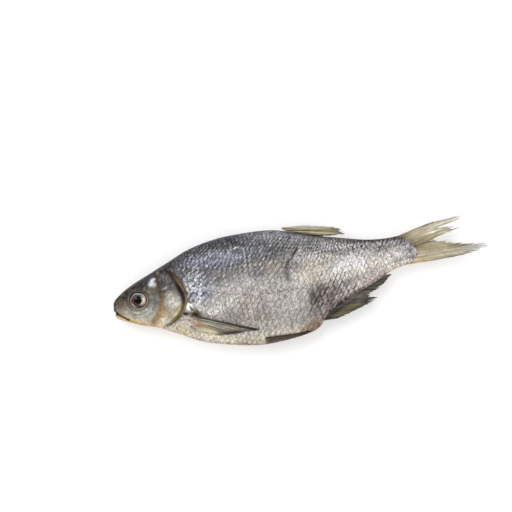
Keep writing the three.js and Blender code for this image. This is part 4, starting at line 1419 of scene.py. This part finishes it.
def buildRays(name, values, side, seed):
    chance = np.random.default_rng(seed)
    blank = rayBlank(values["steps"])
    rod = pointsOf(blank)
    down = (rod[:, 2] + 1) / 2
    allPoints, tints, alongs, acrosses = [], [], [], []
    gap = 1 / (values["rayCount"] - 1)
    light, dark = values["tones"][1:]
    restLift, liftSpread, tipSpread = finHabit["rayLift"]
    for i in range(values["rayCount"]):
        main = (i + chance.uniform(-finHabit["rayPlace"], finHabit["rayPlace"])) * gap
        mixed = chance.random() ** 1.5
        tone = [a * (1 - mixed) + b * mixed for a, b in zip(light, dark)]
        sway = values["wave"] * chance.normal(0, finHabit["sway"])
        for branch in range(values["branches"]):
            start = values["fork"] * chance.uniform(0.85, 1.15) if branch else 0.0
            along = start + (1 - start) * down
            spread = (branch - (values["branches"] - 1) / 2) * finHabit["branchGap"] * gap
            share = main + spread * ease(along, values["fork"], 1.0) * (1.6 if branch else 1.0)
            root, tip = acrossFin(values, share)
            direction = tip - root
            length = np.linalg.norm(direction, axis=1)[:, None]
            direction = direction / length
            tip = tip + direction * chance.uniform(-values["ragged"], 0.15)
            bow = sway * np.sin(math.pi * along) + chance.normal(0, finHabit["tipBend"]) * along**3
            radius = values["radius"][0] * (1 - along) + values["radius"][1] * along
            radius = radius * (finHabit["branchRadius"] if branch else 1.0)
            s = root[:, 0] + (tip[:, 0] - root[:, 0]) * along - direction[:, 1] * (bow + rod[:, 0] * radius)
            t = root[:, 1] + (tip[:, 1] - root[:, 1]) * along + direction[:, 0] * (bow + rod[:, 0] * radius)
            lift = restLift + chance.normal(0, liftSpread) + tipSpread * chance.normal(0, 1) * along**2
            z = finHeight(values, s, t, side, along) + side * (rod[:, 1] * radius + lift)
            allPoints.append(toFrame(s, t, z))
            tints.append(finTint(values, s, t, along, tone, 0.6))
            alongs.append(along)
            acrosses.append(share / gap)
    piece = copiesJoined(name, blank, allPoints)
    return finDetails(piece, np.concatenate(tints), np.concatenate(alongs), np.concatenate(acrosses))


def buildWeb(name, values, side, seed):
    chance = np.random.default_rng(seed)
    columns, rows = values["webColumns"], values["steps"] + 6
    web = makeGrid(name, columns, rows)
    flat = pointsOf(web)
    share, along = (flat[:, 0] + 1) / 2, (flat[:, 1] + 1) / 2
    column = np.round(share * columns).astype(int)
    short = values["webShort"] * (0.4 + 1.2 * chance.random(columns + 1))
    tornDepth, kept = finHabit["torn"]
    short += tornDepth * (chance.random(columns + 1) > kept)
    reach = 1 - short[column]
    root, tip = acrossFin(values, share)
    s = root[:, 0] + (tip[:, 0] - root[:, 0]) * along * reach
    t = root[:, 1] + (tip[:, 1] - root[:, 1]) * along * reach
    rays = share * (values["rayCount"] - 1)
    fold = finHabit["webFold"] * np.cos(rays * 2 * math.pi)
    ripple = finHabit["webRipple"] * np.sin(share * 9 + along * 4) * along
    z = finHeight(values, s, t, side, along) + side * (fold + ripple * (0.3 if "lift" in values else 1))
    setPoints(web, toFrame(s, t, z))
    finDetails(web, finTint(values, s, t, along, values["tones"][0], 0.0), along, rays)
    if side < 0:
        turnFaces(web)
    applyModifier(web, "SOLIDIFY", thickness=finHabit["webThickness"] / 1000, offset=0)
    return web


def finDetails(piece, tint, along, across):
    setColour(piece, "tint", tint)
    setMap(piece, "finMap", np.stack([along, across], axis=1))
    return piece


def buildFin(name, values, side, seed):
    rays = buildRays(name + "Rays", values, side, seed)
    web = buildWeb(name, values, side, seed + 1)
    activate(web)
    rays.select_set(True)
    bpy.ops.object.join()
    smoothFaces(web, 50)
    return finishPiece(web, driedFin)


buildFin("tailFin", tailFinValues, 1, 21)
buildFin("analFin", analFinValues, 1, 31)
buildFin("backFin", backFinValues, 1, 41)
buildFin("breastFinUpper", breastFinValues, 1, 51)
buildFin("breastFinUnder", breastFinValues, -1, 53)
buildFin("bellyFinUpper", bellyFinValues, 1, 61)
buildFin("bellyFinUnder", bellyFinValues, -1, 63)
print("fins made")


finRootValues = {
    "cells": 110,
    "lift": 0.1,  # above the flank
    "edgeSunk": 1.3,
    "headSunk": 2.8,
    "lumps": [  # s, t, radius along, across, turn, height
        (56.6, -19.4, 4.6, 3.8, -20, 1.1), (58.4, -12.4, 2.6, 1.4, -20, 0.9),
        (51.6, -15.6, 2.8, 1.6, 10, 0.5),
        (54, -9.4, 2.4, 3.2, 30, 0.4), (48.4, -19.6, 3.4, 2.2, -30, 0.45),
        (56, -14.2, 4.8, 1.2, -18, -1.6), (50.6, -12.8, 2.6, 0.9, -10, -1.0), (52.6, -18, 0.8, 3.2, 12, -0.8),
        (55.4, -11.4, 0.7, 1.8, -35, -0.8), (56.6, -24.6, 4.6, 0.7, -6, -0.6)],
    "zones": [
        (52.6, -18, 9, 5, 0, (186, 172, 150), 0.85),  # bare tan skin
        (45, -17.2, 5, 2.2, 14, (210, 166, 142), 0.75),
        (48, -21.6, 4.4, 2.2, -24, (214, 204, 190), 0.8),
        (51.4, -15.2, 3.6, 1.2, 6, (190, 176, 150), 0.8),
        (53.9, -6.2, 2.3, 5.0, 4, (286, 286, 287), 1.0),  # bright pocket, which the gill cover shades
        (53.6, -1.6, 1.2, 1.6, 0, (104, 100, 90), 0.8),
        (58.6, -12.2, 3.8, 2.3, -24, (98, 92, 64), 1.0),  # olive flap above the fin
        (57.4, -11.2, 1.2, 0.5, 40, (150, 144, 112), 0.8),
        (55.2, -9.0, 0.7, 2.6, 26, (40, 34, 38), 0.95),
        # painted shade in the pit under the flap, above the fin's root
        (56.2, -14.0, 5.2, 2.1, -24, (2, 0, 2), 1.0),
        (50.2, -12.1, 2.8, 1.2, -12, (52, 42, 50), 0.95),
        (53.0, -13.6, 1.4, 0.8, 30, (168, 164, 172), 0.75),
        (57, -17.8, 4.4, 1.8, -12, (162, 146, 118), 0.85),
        (57.0, -21.4, 3.8, 2.1, -24, (186, 150, 122), 0.92),
        (60.6, -23.4, 3.0, 1.0, -20, (150, 108, 78), 0.75),
        (53, -19, 0.7, 3.8, 14, (122, 92, 70), 0.8),
        (56.4, -23.9, 4.2, 0.6, -12, (140, 108, 84), 0.7),
        (62, -17.2, 3.4, 0.9, -18, (52, 44, 40), 0.8)],
    # marks as on the head
    "marks": [((48.6, -20), (6, 5), 20, 150, ((255, 254, 250), (172, 138, 120), (236, 228, 214)), 0.6),
              ((55.5, -18), (3, 5), 60, 40, ((214, 188, 160), (138, 112, 92)), 0.5)],
}


def finRootRelief(s, t):
    relief = np.zeros_like(s)
    for *oval, height in finRootValues["lumps"]:
        relief += height * np.exp(-ovalDistance(s, t, *oval) * 1.2)
    return relief


def buildFinRoot(name, side):
    # a patch of bare skin whose edge sinks below the scales round it
    values = finRootValues
    patch = makeGrid(name, values["cells"], values["cells"])
    flat = pointsOf(patch)
    # the square grid is drawn in to a disc
    across, up = flat[:, 0], flat[:, 1]
    cs, ct, reachAlong, reachAcross = trunkValues["finRoot"]
    s = cs + across * np.sqrt(1 - up**2 / 2) * reachAlong
    t = ct + up * np.sqrt(1 - across**2 / 2) * reachAcross
    rim = np.sqrt(ovalDistance(s, t, *trunkValues["finRoot"]))
    inHead = 1 - ease(s - rimAt(depthShare(s, t)), -1.6, 0.2)
    lift = values["lift"] + finRootRelief(s, t) - values["edgeSunk"] * ease(rim, 0.66, 1.0)
    lift -= values["headSunk"] * inHead
    setPoints(patch, toFrame(s, t, side * (flankHeight(s, t) + trunkRelief(s, t) + lift)))
    if side < 0:
        turnFaces(patch)
    tint = paintZones(flankColour(s, t), s, t, values["zones"])
    setColour(patch, "tint", paintMarks(tint, s, t, values["marks"], 75))
    applyModifier(patch, "SOLIDIFY", thickness=0.0008, offset=-1)
    smoothFaces(patch)
    return finishPiece(patch, finRootSkin)


buildFinRoot("breastFinRootUpper", 1)
buildFinRoot("breastFinRootUnder", -1)
print("fin roots made")


studio = {
    "floor": (0.92, 0.92, 0.92),
    "glow": 0.25,  # of the floor, as on a light table
    "world": 0.72,
    "key": {"place": (-0.3, 0.5, 0.85), "size": 0.7, "power": 3.6},
    "fill": {"place": (0.5, -0.35, 0.9), "size": 0.9, "power": 1.2},
}


def makeFloor():
    deselectAll()
    bpy.ops.mesh.primitive_plane_add(size=6)
    floor = named("paleFloor")
    n = Nodes("paleFloor")
    n.shader.inputs["Base Color"].default_value = (*studio["floor"], 1)
    n.shader.inputs["Roughness"].default_value = 0.9
    n.shader.inputs["Emission Color"].default_value = (1, 1, 1, 1)
    n.shader.inputs["Emission Strength"].default_value = studio["glow"]
    floor.data.materials.append(n.material)


def makeLight(name, values):
    data = bpy.data.lights.new(name, "AREA")
    data.size = values["size"]
    data.energy = values["power"]
    light = addObject(name, data)
    light.location = values["place"]
    light.rotation_mode = "QUATERNION"
    light.rotation_quaternion = (-Vector(values["place"])).to_track_quat("-Z", "Y")


def makeWorld():
    world = bpy.data.worlds.new("softSky")
    bpy.context.scene.world = world
    world.use_nodes = True
    background = world.node_tree.nodes["Background"]
    background.inputs["Color"].default_value = (1, 1, 1, 1)
    background.inputs["Strength"].default_value = studio["world"]


makeFloor()
makeLight("keyLight", studio["key"])
makeLight("fillLight", studio["fill"])
makeWorld()
bpy.context.scene.view_settings.view_transform = "Standard"
print("studio ready")
